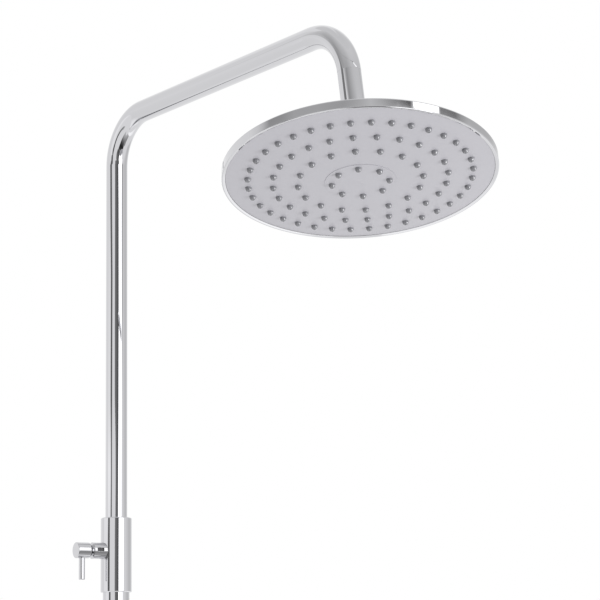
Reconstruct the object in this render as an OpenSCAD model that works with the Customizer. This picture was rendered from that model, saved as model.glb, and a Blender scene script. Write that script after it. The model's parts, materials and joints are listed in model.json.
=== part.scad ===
// Shower column: a wall-fed rail, a diverter body and a bent riser that carries an overhead
// shower head on a ball joint. Millimetres. +Z is up, +Y points into the wall and the arm
// reaches out along -Y. The origin is the axis of the wall inlet at the wall's surface.

/* [Riser and arm] */
// Outer diameter of the riser tube
tube_d = 22.2; // [20:0.1:24]
// Wall of the riser tube
tube_wall = 1.2; // [0.8:0.1:1.6]
// Height of the arm's centreline above the diverter body
riser_h = 419; // [300:1:700]
// Centreline radius of the bend between riser and arm
bend_r = 49.2; // [35:0.1:80]
// Straight run of the arm between its two bends
arm_run = 276.5; // [180:0.5:400]
// Centreline radius of the bend above the head
end_bend_r = 53.5; // [35:0.1:80]
// Lean of the straight leg away from the wall, in degrees
leg_lean = 7.9; // [0:0.1:15]
// Length of the straight leg below its bend
leg_len = 43.4; // [30:0.1:90]

/* [Lower rail] */
// Outer diameter of the rail
rail_d = 27; // [26:0.1:28]
// Wall of the rail
rail_wall = 1.5; // [1:0.1:2]
// Height of the diverter body above the wall inlet
rail_run = 400; // [250:1:700]
// Outer diameter of the inner tube that feeds the hand shower outlet
hand_d = 12; // [10:0.1:12.4]
// Wall of the inner tube
hand_wall = 1.5; // [1:0.1:2]

/* [Diverter body] */
// Outer diameter of the body
body_d = 31.5; // [31:0.1:36]
// Length of the body
body_len = 75; // [68:0.5:100]
// Chamfer on the body's two edges
body_edge = 0.8; // [0.2:0.1:1.2]
// Depth of the rail's socket
rail_depth = 16; // [14:0.5:18]
// Height of the water chamber above the rail
chamber_h = 8; // [6:0.5:9]
// Depth of the inner tube's port above the chamber
port_depth = 7; // [5:0.5:8]
// Height of the diverter axis above the body's lower end
knob_height = 41.5; // [41:0.5:42]
// Depth of the riser's socket
riser_depth = 9.5; // [8:0.5:16]

/* [Diverter] */
// Outer radius of the cartridge
cart_r = 6.5; // [6:0.1:6.8]
// Outer radius of the spool that turns in the cartridge
spool_r = 4.6; // [4.3:0.1:4.8]
// Radius of the spindle
spindle_r = 3; // [2.5:0.1:3.2]
// Radius of the bonnet
bonnet_r = 8.25; // [8:0.05:9.5]
// Distance from the column's axis to the bonnet's outer end
bonnet_reach = 29.2; // [28:0.1:36]
// Radius of the knob
knob_r = 8; // [7:0.1:9.5]
// Length of the knob
knob_len = 15.7; // [15:0.1:24]
// Length of the chamfers where the knob and the bonnet face each other
neck_cut = 1.8; // [1:0.1:3]
// Depth of these chamfers
neck_depth = 2.5; // [1:0.1:3]
// Radius of the lever pin
pin_r = 3.1; // [2:0.1:3.4]
// Length of the lever pin below the diverter axis
pin_drop = 29.3; // [22:0.1:45]
// Distance from the knob's outer face to the lever pin's axis
pin_inset = 6.9; // [5:0.1:9]
// Turn of the diverter's axis round the column, from square to the arm, in degrees
knob_turn = 7; // [-30:1:30]
// Length of the two spanner slots in the bonnet
slot_len = 7.4; // [4:0.1:8]
// Width of the spanner slots
slot_w = 3.6; // [2:0.1:5]
// Depth of the spanner slots
slot_depth = 1.2; // [0.6:0.1:1.5]

/* [Wall inlet] */
// Distance from the wall to the column's axis
wall_gap = 60; // [54:0.5:80]
// Outer radius of the inlet body's upright barrel
barrel_r = 16.5; // [16:0.1:19]
// Height of the barrel above the inlet axis
barrel_up = 27; // [24:0.5:40]
// Depth of the barrel below the inlet axis
barrel_down = 24; // [21:0.5:36]
// Outer radius of the inlet arm
inlet_r = 14.5; // [14.3:0.1:16]
// Radius of the nipple that the inlet arm slides over
nipple_r = 12; // [11.5:0.1:12.3]
// Radius of the nipple's thread in the wall, one half inch pipe
thread_r = 10.4; // [10:0.1:10.5]
// Length of the nipple's thread in the wall
wall_thread = 14; // [10:0.5:20]
// Length of the nipple inside the inlet arm
nipple_len = 24; // [18:0.5:26]
// Radius of the waterway through the nipple
nipple_bore = 7; // [5:0.5:8]

/* [Hand shower outlet] */
// Radius of the outlet's shoulder
outlet_r = 13.5; // [12:0.1:16]
// Height of the outlet's shoulder
outlet_h = 6; // [4:0.5:10]
// Length of the outlet's thread, one half inch pipe
outlet_thread = 12; // [9:0.5:16]
// Radius of the check valve's case
check_r = 7.4; // [6.8:0.1:7.8]
// Length of the check valve's case
check_len = 11; // [10:0.5:13]
// Travel of the check valve's poppet
check_travel = 2; // [1:0.1:2.5]

/* [Upper wall bracket] */
// Height of the bracket above the wall inlet
bracket_z = 330; // [150:1:370]
// Height of the ring round the rail
ring_h = 24; // [20:0.5:36]
// Wall of the ring round the rail
ring_wall = 3; // [2.5:0.1:5]
// Thickness of the liner between ring and rail
liner_t = 1; // [0.6:0.1:2]
// Radius of the bracket's post
post_r = 9.5; // [9:0.1:12]
// Radius of the spigot on the wall plate
spigot_r = 6.5; // [5.5:0.1:7]
// Length of the spigot on the wall plate
spigot_len = 24; // [18:0.5:30]
// Radius of the wall plate
plate_r = 24; // [22.5:0.5:26]
// Thickness of the wall plate
plate_t = 4; // [3:0.5:5]
// Distance between the two screw holes in the wall plate
screw_span = 32; // [30:0.5:34]
// Radius of the screw holes in the wall plate
screw_hole_r = 2.6; // [2:0.1:3]

/* [Wall covers] */
// Outer radius of the wall covers
cover_r = 31; // [29:0.5:40]
// Depth of the wall covers
cover_depth = 10; // [9:0.5:14]
// Sheet thickness of the wall covers
cover_t = 1.6; // [1:0.1:2.5]
// Thickness of the soft gasket behind each cover
gasket_t = 1; // [0.6:0.1:2]

/* [Ball joint] */
// Radius of the ball
ball_r = 10.5; // [10:0.1:11]
// Radius of the neck above the ball
neck_r = 6.5; // [6:0.1:6.8]
// Height of the neck's top above the ball's centre
neck_top = 13; // [12.5:0.1:16]
// Height of the nut that screws onto the arm's end
nut_h = 16; // [15:0.5:20]
// Width of the nut across its flats
nut_af = 26; // [24.5:0.5:28]
// Height of the arm end's flange
flange_t = 2; // [1.5:0.1:3]
// Thickness of the glide ring over the ball
glide_t = 1.2; // [1:0.1:1.4]
// Outer radius of the swivel collar
collar_r = 17.5; // [17:0.1:20]
// Height of the swivel collar's top above the ball's centre
collar_top = 7; // [6.6:0.1:7.2]
// Radius of the collar's thread on the head's hub
hub_r = 14; // [13.5:0.1:14.5]

/* [Head] */
// Outer diameter of the head
head_d = 247; // [230:1:260]
// Height of the head's upright rim
rim_h = 9.3; // [8.5:0.1:14]
// Distance from the ball's centre down to the rim's upper edge
rim_drop = 21; // [20.5:0.1:24]
// Distance from the ball's centre down to the hub's shoulder
hub_drop = 17; // [16.5:0.1:18]
// Wall of the housing's back
back_wall = 2.5; // [2:0.1:2.8]
// Width of the lip round the face
lip_w = 3.2; // [2.5:0.1:4]
// Rise of the lip from its outer to its inner edge
lip_rise = 1.3; // [0.5:0.1:2]
// Bulge of the face at the outer nozzle ring
face_bulge = 4.2; // [3:0.1:5]
// Thickness of the face plate
face_t = 2.2; // [1.8:0.1:2.6]
// Radius of the raised disc in the middle of the face
disc_r = 32; // [30:0.5:36]
// Height of the raised disc
disc_h = 0.4; // [0.2:0.1:0.8]
// Tilt of the head towards the front, in degrees
head_pitch = -10.9; // [-14:0.1:-6]
// Tilt of the head towards the side, in degrees
head_roll = 6.9; // [0:0.1:9]

/* [Nozzles] */
// Radius of the outer nozzle ring
ring_r = 100.5; // [94:0.5:104]
// Radius of a nozzle where it leaves the face
nozzle_r = 2.9; // [2:0.1:3.2]
// Radius of a nozzle's tip
tip_r = 2.1; // [1.2:0.1:2.4]
// Height of a nozzle below the face
nozzle_h = 2; // [1:0.1:3]
// Radius of a nozzle's jet
jet_r = 0.5; // [0.3:0.05:0.9]
// Thickness of the silicone mat
mat_t = 1.2; // [0.8:0.1:1.4]
// Direction of the ray that all rings start from, in degrees
ring_turn = 134.5; // [0:0.5:360]

/* [Fits] */
// Radial gap of a piece that slides into its seat
slip = 0.05; // [0.02:0.01:0.08]
// Gap between pieces that move past each other
clear = 0.3; // [0.2:0.05:0.4]
// Thickness of an O-ring's cord
ring_cord = 1; // [0.8:0.05:1.1]
// Radius of the set screws
set_r = 2; // [1.5:0.1:2.2]

/* [Hidden] */
$fn = 64;
cut = 1;
tube_r = tube_d / 2;
tube_in = tube_r - tube_wall;
rail_r = rail_d / 2;
rail_in = rail_r - rail_wall;
hand_r = hand_d / 2;
hand_in = hand_r - hand_wall;
body_r = body_d / 2;
body_top = rail_run + body_len;
arm_z = body_top + riser_h;
knob_z = rail_run + knob_height;

// O-ring grooves are a little wider and deeper than the cord, and the cord is pressed slightly
groove_w = ring_cord * 1.6;
groove_d = ring_cord + 0.05;
ring_squeeze = 0.02;
ring_sides = 24;

// Set screws: how far they sink below the surface, and the depth of a groove for their tips
screw_sink = 0.5;
tip_groove_d = 1;
tip_groove_w = set_r * 2 + 1;

// Diverter body, heights above its lower end
rail_ledge = 0.5;
chamber_r = rail_in - rail_ledge;
chamber_top = rail_depth + chamber_h;
port_top = chamber_top + port_depth;
port_r = hand_in - 1;
port_ring_z = chamber_top + port_depth / 2;
riser_seat = body_len - riser_depth;
ferrule_step = 0.9;
ferrule_wall = 3;
ferrule_r = tube_in - ferrule_step;
ferrule_len = 9;
ferrule_seat = riser_seat - ferrule_len - clear;
ferrule_foot = clear - ferrule_len;
ferrule_rings = [ferrule_foot + 2.5, ferrule_foot + 6];
ferrule_lift = 12;
riser_port = ferrule_r - ferrule_wall;
supply_r = 2;
supply_wall = 0.95;
supply_x = hand_r + slip + supply_wall + supply_r;
body_screw_z = 5;
body_ring_z = 11;

// Diverter, distances out from the column's axis
supply_edge = 0.5;
cart_back = supply_x + supply_r + supply_edge;
cart_in = supply_x - supply_r - supply_edge;
cart_out = 9.5;
cart_len = cart_in + cart_out;
cart_rings = [-4.7, 5.5];
window_r = 2.6;
bonnet_thread = cart_r + 1;
bonnet_sink = 2.4;
bonnet_seat = body_r - bonnet_sink;
bonnet_ring = (cart_out + bonnet_seat) / 2 + 0.4;
spool_out = cart_out - 1;
spool_wall = 1.6;
spool_bore = spool_r - spool_wall;
spool_stop = 3.5;
knob_in = bonnet_reach + clear;
knob_out = knob_in + knob_len;
pin_x = knob_out - pin_inset;
spindle_end = pin_x + pin_r + 2;
spindle_ring = bonnet_seat + 6;
pin_seat = spindle_r + 0.4;
pin_edge = 0.4;
neck_r_knob = knob_r - neck_depth;
neck_r_bonnet = bonnet_r - neck_depth;
slot_turn = 6;
slot_gap = 2.6;
slot_end = bonnet_reach - neck_cut - slot_gap;

// Riser foot, heights above the column's origin
collar_foot = rail_run + riser_seat + clear;
collar_h = 6;
riser_foot = collar_foot + collar_h;
riser_groove_z = collar_foot + collar_h / 2;
riser_groove_w = 3;
riser_groove_r = tube_r - 1.3;
set_tip_r = 1.2;

// Arm
bend_z = arm_z - bend_r;
arm_end_y = bend_r + arm_run;
end_turn = 90 - leg_lean;
leg_y = arm_end_y + end_bend_r * sin(end_turn);
leg_z = arm_z - end_bend_r * (1 - cos(end_turn));
tube_end = neck_top + nut_h + flange_t;
pivot_y = leg_y + (leg_len + tube_end) * sin(leg_lean);
pivot_z = leg_z - (leg_len + tube_end) * cos(leg_lean);
thread_len = 10;
outlet_lift = 14;
washer_t = 1.5;
washer_w = 3.8;
thread_end = neck_top + nut_h - thread_len;
washer_seat = thread_end - washer_t;
regulator_h = 3;
stem_bore = 4;

// The leg starts just inside its bend and is a hair narrower, so the two join cleanly
leg_start = 0.2;
leg_step = 0.06;
leg_in = tube_in - leg_step;
water_r = thread_r - 3;

// Ball joint, heights above the ball's centre
glide_in = ball_r + slip;
glide_out = glide_in + glide_t;
collar_in = glide_out + slip;
mouth_r = sqrt(collar_in * collar_in - collar_top * collar_top) + 0.2;
glide_low = 0.2 * glide_out;
glide_high = 0.68 * glide_out;
seat_top = -1;
seat_h = 10;
seat_bottom = seat_top - seat_h;
hub_washer_t = 1.2;
hub_top = seat_bottom - hub_washer_t;
collar_bottom = clear - hub_drop;
collar_edge = 1.2;
hub_bore = 7;
ball_flat = 8.5;

// Head, heights above the ball's centre
head_r = head_d / 2;
rim_top = -rim_drop;
rim_low = rim_top - rim_h;
hub_z = -hub_drop;
shoulder_r = collar_r + 2.5;
rim_in = head_r - lip_w;
face_r = rim_in - clear;
lip_in_z = rim_low + lip_rise;
dome_r = ring_r * ring_r / (2 * face_bulge);
face_edge_z = lip_in_z + clear;
face_low = face_edge_z - face_r * face_r / (2 * dome_r);
dome_z = face_low + dome_r;
face_wall = 3;
wall_in = face_r - face_wall;
mat_r = wall_in - slip;
inner_edge = 1;

// Plate screws stand on a ring between the outer nozzles and the face plate's wall
screw_count = 8;
screw_ring = (ring_r + nozzle_r + wall_in) / 2;
plate_screw_r = 1.4;
plate_head_r = plate_screw_r * 1.8;
plate_head_h = 1.2;
boss_r = plate_screw_r * 2;
boss_floor = 0.6;

// The back plate lies on the mat's edge and fills the space left below the screws' heads
back_slope = (hub_z - rim_top - inner_edge / 2) / (rim_in - inner_edge - shoulder_r);
plate_up = hub_z - back_wall - (screw_ring + plate_head_r - shoulder_r) * back_slope
    - clear - plate_head_h;
plate_low = face_z(mat_r, face_t + mat_t) + slip;
neck_tube_r = hub_bore - slip;
neck_tube_top = hub_top - 1.5;
neck_ring = neck_tube_top - 2;
neck_bore = 4.5;

// Nozzle rings: how many nozzles each has, and its radius as a share of the outer ring's
nozzle_rings = [[8, 0.2555], [16, 0.556], [24, 0.7785], [36, 1]];

// Covers, and what starts behind them, distances out from the wall
cover_overlap = 2;
cover_back = cover_depth - gasket_t;
nipple_start = cover_back - cover_overlap;
nipple_flange_r = nipple_r + 2;
nipple_end = nipple_start + nipple_len;
nipple_rings = [nipple_end - 3, nipple_end - 7];
inlet_set_y = nipple_start + 5;
strainer_t = 1.5;
strainer_hole_r = 1.2;
post_start = cover_back - cover_overlap;
post_set_y = cover_depth + 6;

// Hand shower outlet, heights above the barrel's lower end
outlet_neck = 10;
outlet_spigot = 14;
outlet_ring = 4;
hand_seat = 8;
hand_ring = outlet_spigot - 3;
chamber_low = outlet_spigot - barrel_down;

// Check valve, heights above the outlet's lower end
check_z = -barrel_down - outlet_h - outlet_thread;
check_seat_r = 4;
poppet_r = 5;
poppet_t = 1.5;
poppet_stem = 1.2;
poppet_top = check_len - 2;
guide_t = 1.5;
guide_bore = poppet_stem + slip;
vent_ring = 4.2;
vent_r = 1.4;
spring_r = 3.2;
spring_wire = 0.35;
spring_gap = 0.1;
spring_low = guide_t + spring_wire + spring_gap;
spring_high = poppet_top - poppet_t - spring_wire - spring_gap;
spring_turns = 4;

// Colours, as the photograph shows them
chrome = [0.84, 0.84, 0.86];
face_grey = [0.74, 0.74, 0.77];
nozzle_grey = [0.52, 0.52, 0.55];
brass = [0.8, 0.66, 0.36];
rubber = [0.12, 0.12, 0.13];
plastic = [0.9, 0.9, 0.88];
steel = [0.66, 0.67, 0.69];

// Frames: the column's axis, the diverter's axis, the wall post, the arm's leg and the head
module at_column(z = 0) {
    translate([0, -wall_gap, z]) children();
}

// Local Z runs out of the body along the diverter's axis
module at_diverter(out = 0) {
    at_column(knob_z) rotate([0, -90, -knob_turn]) translate([0, 0, out]) children();
}

// Local Z runs from the wall to the column's axis
module from_wall(z = 0, out = 0) {
    translate([0, -out, z]) rotate([90, 0, 0]) children();
}

// Local Z runs up the arm's leg from the ball's centre
module at_leg() {
    at_column() translate([0, -pivot_y, pivot_z]) rotate([-leg_lean, 0, 0]) children();
}

// Local Z runs up the head's own axis from the ball's centre
module at_head() {
    at_column() translate([0, -pivot_y, pivot_z]) rotate([head_pitch, head_roll, 0]) children();
}

// A plain tube, and a ring of round cord
module tube(h, r, bore) {
    difference() {
        cylinder(h = h, r = r);
        translate([0, 0, -cut]) cylinder(h = h + 2 * cut, r = bore);
    }
}

// O-ring that seals outwards against a bore of radius r, its middle at height z
module bore_ring(r, z) {
    translate([0, 0, z])
        rotate_extrude() translate([r - ring_squeeze - ring_cord / 2, 0])
            circle(d = ring_cord, $fn = ring_sides);
}

// O-ring that sits in a bore's groove and seals inwards against a shaft of radius r
module shaft_ring(r, z) {
    translate([0, 0, z])
        rotate_extrude() translate([r + ring_squeeze + ring_cord / 2, 0])
            circle(d = ring_cord, $fn = ring_sides);
}

// Cutter for a groove round a shaft of radius r, its middle at height z
module shaft_groove(r, z, w = groove_w, d = groove_d) {
    translate([0, 0, z - w / 2]) difference() {
        cylinder(h = w, r = r + cut);
        translate([0, 0, -cut]) cylinder(h = w + 2 * cut, r = r - d);
    }
}

// Cutter for a groove in the wall of a bore of radius r, its middle at height z
module bore_groove(r, z) {
    translate([0, 0, z - groove_w / 2]) cylinder(h = groove_w, r = r + groove_d);
}

// Set screw that runs out along local Z from its tip at radius r, with a hexagon socket
module set_screw(from, to) {
    difference() {
        translate([0, 0, from]) cylinder(h = to - from, r = set_r);
        translate([0, 0, to - set_r * 0.6]) cylinder(h = set_r, r = set_r * 0.5, $fn = 6);
    }
}

// Centreline of the riser, the arm and the leg as a rod of radius r
module riser_rod(r, extra = 0) {
    at_column() {
        translate([0, 0, riser_foot - extra]) cylinder(h = bend_z - riser_foot + extra, r = r);
        translate([0, -bend_r, bend_z]) rotate([90, 0, 90])
            rotate_extrude(angle = 90) translate([bend_r, 0]) circle(r = r);
        translate([0, -bend_r, arm_z]) rotate([90, 0, 0]) cylinder(h = arm_run, r = r);
        translate([0, -arm_end_y, arm_z - end_bend_r]) rotate([90, 0, 90]) rotate([0, 0, 90])
            rotate_extrude(angle = end_turn) translate([end_bend_r, 0]) circle(r = r);
    }
    at_leg() translate([0, 0, tube_end - extra])
        cylinder(h = leg_len + leg_start + extra, r = r - leg_step);
}

// Wall inlet

module wall_nipple() {
    color(brass) from_wall() difference() {
        union() {
            translate([0, 0, -wall_thread]) cylinder(h = wall_thread + cut, r = thread_r);
            cylinder(h = nipple_start, r = nipple_flange_r);
            translate([0, 0, nipple_start - cut]) cylinder(h = nipple_len + cut, r = nipple_r - slip);
        }
        translate([0, 0, -wall_thread - cut])
            cylinder(h = wall_thread + nipple_end + 2 * cut, r = nipple_bore);
        for (y = nipple_rings) shaft_groove(nipple_r - slip, y);
        shaft_groove(nipple_r - slip, inlet_set_y, tip_groove_w, tip_groove_d);
    }
}

module nipple_o_rings() {
    color(rubber) from_wall() for (y = nipple_rings) bore_ring(nipple_r, y);
}

module inlet_strainer() {
    mesh_holes = 6;
    mesh_ring = nipple_bore - strainer_hole_r * 2;
    color(steel) from_wall(0, nipple_end + slip) difference() {
        cylinder(h = strainer_t, r = nipple_r - slip);
        translate([0, 0, -cut]) cylinder(h = strainer_t + 2 * cut, r = strainer_hole_r);
        for (i = [0 : mesh_holes - 1])
            rotate([0, 0, i * 360 / mesh_holes]) translate([mesh_ring, 0, -cut])
                cylinder(h = strainer_t + 2 * cut, r = strainer_hole_r);
    }
}

module inlet_body() {
    socket_end = nipple_end + slip + strainer_t;
    color(chrome) difference() {
        union() {
            at_column(-barrel_down) cylinder(h = barrel_down + barrel_up, r = barrel_r);
            from_wall(0, nipple_start) cylinder(h = wall_gap - nipple_start, r = inlet_r);
        }
        at_column() {
            translate([0, 0, barrel_up - rail_depth]) cylinder(h = rail_depth + cut, r = rail_r + slip);
            translate([0, 0, chamber_low])
                cylinder(h = barrel_up - rail_depth - chamber_low + cut, r = chamber_r);
            translate([0, 0, -barrel_down - cut])
                cylinder(h = barrel_down + chamber_low + 2 * cut, r = outlet_neck + slip);
            bore_groove(rail_r + slip, barrel_up - rail_depth + body_screw_z);
        }
        from_wall(0, nipple_start - cut) cylinder(h = socket_end - nipple_start + cut, r = nipple_r);
        from_wall(0, socket_end - cut) cylinder(h = wall_gap - socket_end + cut, r = nipple_bore);
        from_wall(0, inlet_set_y) rotate([90, 0, 0]) translate([0, 0, nipple_r - cut])
            cylinder(h = inlet_r, r = set_r);
    }
}

module inlet_set_screw() {
    color(steel) translate([0, -inlet_set_y, 0]) rotate([180, 0, 0])
        set_screw(nipple_r - tip_groove_d, inlet_r - screw_sink);
}

// Round cover with a chamfered edge and a hole of radius r
module wall_cover(r) {
    difference() {
        cylinder(h = cover_back, r = cover_r);
        translate([0, 0, -cut]) cylinder(h = cover_back - cover_t + cut, r = cover_r - cover_t);
        cylinder(h = cover_back + cut, r = r + slip);
        translate([0, 0, cover_back]) rotate_extrude()
            polygon([[cover_r - cover_t, cut], [cover_r + cut, cut], [cover_r + cut, -cover_t]]);
    }
}

module inlet_cover() {
    color(chrome) from_wall(0, gasket_t) wall_cover(inlet_r);
}

module cover_gasket() {
    gasket_w = 3.6;
    gasket_r = cover_r - 0.4;
    tube(gasket_t, gasket_r, gasket_r - gasket_w);
}

module inlet_cover_gasket() {
    color(rubber) from_wall() cover_gasket();
}

module rail_lower_o_ring() {
    color(rubber) at_column() shaft_ring(rail_r, barrel_up - rail_depth + body_screw_z);
}

// Lower rail and its inner tube

module lower_rail() {
    foot = barrel_up - rail_depth;
    color(chrome) at_column(foot) tube(rail_run + rail_depth - foot, rail_r, rail_in);
}

module hand_tube() {
    foot = chamber_low - hand_seat;
    color(plastic) at_column(foot)
        tube(rail_run + port_top - clear - foot, hand_r, hand_in);
}

module hand_tube_o_rings() {
    color(rubber) at_column() {
        shaft_ring(hand_r, rail_run + port_ring_z);
        shaft_ring(hand_r, hand_ring - barrel_down);
    }
}

// Hand shower outlet and its check valve

module hose_outlet() {
    color(chrome) at_column(-barrel_down) difference() {
        union() {
            cylinder(h = outlet_spigot, r = outlet_neck);
            translate([0, 0, -outlet_h]) cylinder(h = outlet_h, r = outlet_r);
            translate([0, 0, -outlet_h - outlet_thread]) cylinder(h = outlet_thread + cut, r = thread_r);
        }
        translate([0, 0, outlet_spigot - hand_seat]) cylinder(h = hand_seat + cut, r = hand_r + slip);
        bore_groove(hand_r + slip, hand_ring);
        translate([0, 0, -outlet_h - outlet_thread - cut])
            cylinder(h = outlet_h + outlet_thread + outlet_spigot, r = hand_in);
        translate([0, 0, -outlet_h - outlet_thread - cut])
            cylinder(h = check_len + cut, r = check_r + slip);
        shaft_groove(outlet_neck, outlet_ring);
    }
}

module hose_outlet_o_ring() {
    color(rubber) at_column(-barrel_down) bore_ring(outlet_neck + slip, outlet_ring);
}

module check_valve_case() {
    vents = 4;
    check_room = check_r - 1.2;
    color(plastic) at_column(check_z) difference() {
        cylinder(h = check_len, r = check_r);
        translate([0, 0, guide_t]) cylinder(h = poppet_top + slip - guide_t, r = check_room);
        translate([0, 0, guide_t]) cylinder(h = check_len, r = check_seat_r);
        translate([0, 0, -cut]) cylinder(h = guide_t + 2 * cut, r = guide_bore);
        for (i = [0 : vents - 1])
            rotate([0, 0, i * 360 / vents]) translate([vent_ring, 0, -cut])
                cylinder(h = guide_t + 2 * cut, r = vent_r);
    }
}

module check_valve_poppet() {
    color(plastic) at_column(check_z) {
        translate([0, 0, poppet_top - poppet_t]) cylinder(h = poppet_t, r = poppet_r);
        translate([0, 0, check_travel + clear])
            cylinder(h = poppet_top - poppet_t - check_travel, r = poppet_stem);
    }
}

// Point on the spring's centreline at turn t, and the ring of points round it
function spring_mid(t) = [
    spring_r * cos(360 * t),
    spring_r * sin(360 * t),
    spring_low + (spring_high - spring_low) * t / spring_turns
];
function spring_ring(t, sides) = [
    for (j = [0 : sides - 1])
        let (a = 360 * j / sides, out = spring_wire * cos(a))
            spring_mid(t) + [out * cos(360 * t), out * sin(360 * t), spring_wire * sin(a)]
];

module check_valve_spring() {
    sides = 6;
    steps = spring_turns * 16;
    points = [for (i = [0 : steps]) each spring_ring(spring_turns * i / steps, sides)];
    walls = [
        for (i = [0 : steps - 1], j = [0 : sides - 1], half = [0, 1])
            let (k = (j + 1) % sides, a = i * sides, b = a + sides)
                half == 0 ? [a + j, a + k, b + k] : [a + j, b + k, b + j]
    ];
    start = [for (j = [1 : sides - 2]) [0, j + 1, j]];
    last = steps * sides;
    finish = [for (j = [1 : sides - 2]) [last, last + j, last + j + 1]];
    color(steel) at_column(check_z) polyhedron(points = points, faces = concat(walls, start, finish));
}

// Upper wall bracket

module bracket_wall_plate() {
    color(steel) from_wall(bracket_z) difference() {
        union() {
            cylinder(h = plate_t, r = plate_r);
            cylinder(h = plate_t + spigot_len, r = spigot_r - slip);
        }
        for (side = [-1, 1])
            translate([side * screw_span / 2, 0, -cut]) cylinder(h = plate_t + 2 * cut, r = screw_hole_r);
        shaft_groove(spigot_r - slip, post_set_y, tip_groove_w, tip_groove_d);
    }
}

module bracket_arm() {
    ring_in = rail_r + liner_t + slip;
    color(chrome) difference() {
        union() {
            at_column(bracket_z - ring_h / 2) cylinder(h = ring_h, r = ring_in + ring_wall);
            from_wall(bracket_z, post_start) cylinder(h = wall_gap - post_start, r = post_r);
        }
        at_column(bracket_z - ring_h / 2 - cut) cylinder(h = ring_h + 2 * cut, r = ring_in);
        from_wall(bracket_z, post_start - cut)
            cylinder(h = plate_t + spigot_len + clear - post_start + cut, r = spigot_r);
        from_wall(bracket_z, post_set_y) rotate([90, 0, 0]) translate([0, 0, spigot_r - cut])
            cylinder(h = post_r, r = set_r);
    }
}

module bracket_liner() {
    color(rubber) at_column(bracket_z - ring_h / 2) tube(ring_h, rail_r + liner_t, rail_r);
}

module bracket_set_screw() {
    color(steel) translate([0, -post_set_y, bracket_z]) rotate([180, 0, 0])
        set_screw(spigot_r - tip_groove_d, post_r - screw_sink);
}

module bracket_cover() {
    color(chrome) from_wall(bracket_z, gasket_t) wall_cover(post_r);
}

module bracket_cover_gasket() {
    color(rubber) from_wall(bracket_z) cover_gasket();
}

// Diverter body and cartridge

module diverter_body() {
    color(chrome) difference() {
        at_column(rail_run) rotate_extrude() polygon([
            [0, 0], [body_r - body_edge, 0], [body_r, body_edge],
            [body_r, body_len - body_edge], [body_r - body_edge, body_len], [0, body_len]
        ]);
        at_column(rail_run) {
            translate([0, 0, -cut]) cylinder(h = rail_depth + cut, r = rail_r + slip);
            bore_groove(rail_r + slip, body_ring_z);
            translate([0, 0, rail_depth - cut]) cylinder(h = chamber_h + cut, r = chamber_r);
            translate([0, 0, chamber_top - cut]) cylinder(h = port_depth + cut, r = hand_r + slip);
            bore_groove(hand_r + slip, port_ring_z);
            translate([0, 0, port_top - cut]) cylinder(h = knob_height - port_top + cut, r = port_r);
            rotate([0, 0, -knob_turn]) translate([supply_x, 0, chamber_top - cut])
                cylinder(h = knob_height - chamber_top + cut, r = supply_r);
            translate([0, 0, knob_height]) cylinder(h = ferrule_seat - knob_height + cut, r = riser_port);
            translate([0, 0, ferrule_seat]) cylinder(h = riser_seat - ferrule_seat + cut, r = ferrule_r);
            translate([0, 0, riser_seat]) cylinder(h = riser_depth + cut, r = tube_r + slip);
            translate([0, 0, body_screw_z]) rotate([-90, 0, 0]) cylinder(h = body_r + cut, r = set_r);
        }
        at_column(riser_groove_z) rotate([-90, 0, 0]) cylinder(h = body_r + cut, r = set_r);
        at_diverter(-cart_back) cylinder(h = cart_back + cart_out, r = cart_r);
        at_diverter(cart_out - cut) cylinder(h = body_r, r = bonnet_thread + slip);
        at_diverter(bonnet_seat) cylinder(h = body_r, r = bonnet_r + slip);
    }
}

module rail_upper_o_ring() {
    color(rubber) at_column(rail_run) shaft_ring(rail_r, body_ring_z);
}

module rail_set_screw() {
    color(steel) at_column(rail_run + body_screw_z) rotate([-90, 0, 0])
        set_screw(rail_r, body_r - screw_sink);
}

module riser_set_screw() {
    color(steel) at_column(riser_groove_z) rotate([-90, 0, 0]) {
        set_screw(tube_r + clear, body_r - screw_sink);
        translate([0, 0, riser_groove_r + clear])
            cylinder(h = tube_r - riser_groove_r, r = set_tip_r);
    }
}

module diverter_cartridge() {
    color(brass) at_diverter(-cart_in) difference() {
        cylinder(h = cart_len, r = cart_r - slip);
        translate([0, 0, -cut]) cylinder(h = cart_len + 2 * cut, r = spool_r);
        translate([-cart_r - cut, 0, cart_in]) rotate([0, 90, 0])
            cylinder(h = 2 * (cart_r + cut), r = window_r);
        for (x = cart_rings) shaft_groove(cart_r - slip, cart_in + x);
    }
}

module cartridge_o_rings() {
    color(rubber) at_diverter() for (x = cart_rings) bore_ring(cart_r, x);
}

module diverter_bonnet() {
    color(chrome) at_diverter() difference() {
        union() {
            translate([0, 0, cart_out + slip])
                cylinder(h = bonnet_seat - cart_out, r = bonnet_thread);
            rotate_extrude() polygon([
                [0, bonnet_seat + slip], [bonnet_r, bonnet_seat + slip],
                [bonnet_r, bonnet_reach - neck_cut], [neck_r_bonnet, bonnet_reach], [0, bonnet_reach]
            ]);
        }
        translate([0, 0, cart_out - cut]) cylinder(h = bonnet_reach, r = spindle_r + slip);
        bore_groove(spindle_r + slip, spindle_ring);
        shaft_groove(bonnet_thread, bonnet_ring);
        for (side = [0, 180])
            rotate([0, 0, side + slot_turn])
                translate([-slot_w / 2, -bonnet_r - cut, slot_end - slot_len])
                    cube([slot_w, slot_depth + cut, slot_len]);
    }
}

module bonnet_o_ring() {
    color(rubber) at_diverter() bore_ring(bonnet_thread + slip, bonnet_ring);
}

// Diverter spindle, knob and lever

module diverter_spindle() {
    color(brass) at_diverter() difference() {
        union() {
            translate([0, 0, clear - cart_in])
                cylinder(h = cart_in + spool_out - clear, r = spool_r - slip);
            cylinder(h = spindle_end, r = spindle_r);
        }
        translate([0, 0, -cart_in - cut]) cylinder(h = cart_in + spool_stop + cut, r = spool_bore);
        rotate([0, 90, 0]) cylinder(h = spool_r + cut, r = window_r);
    }
}

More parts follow.
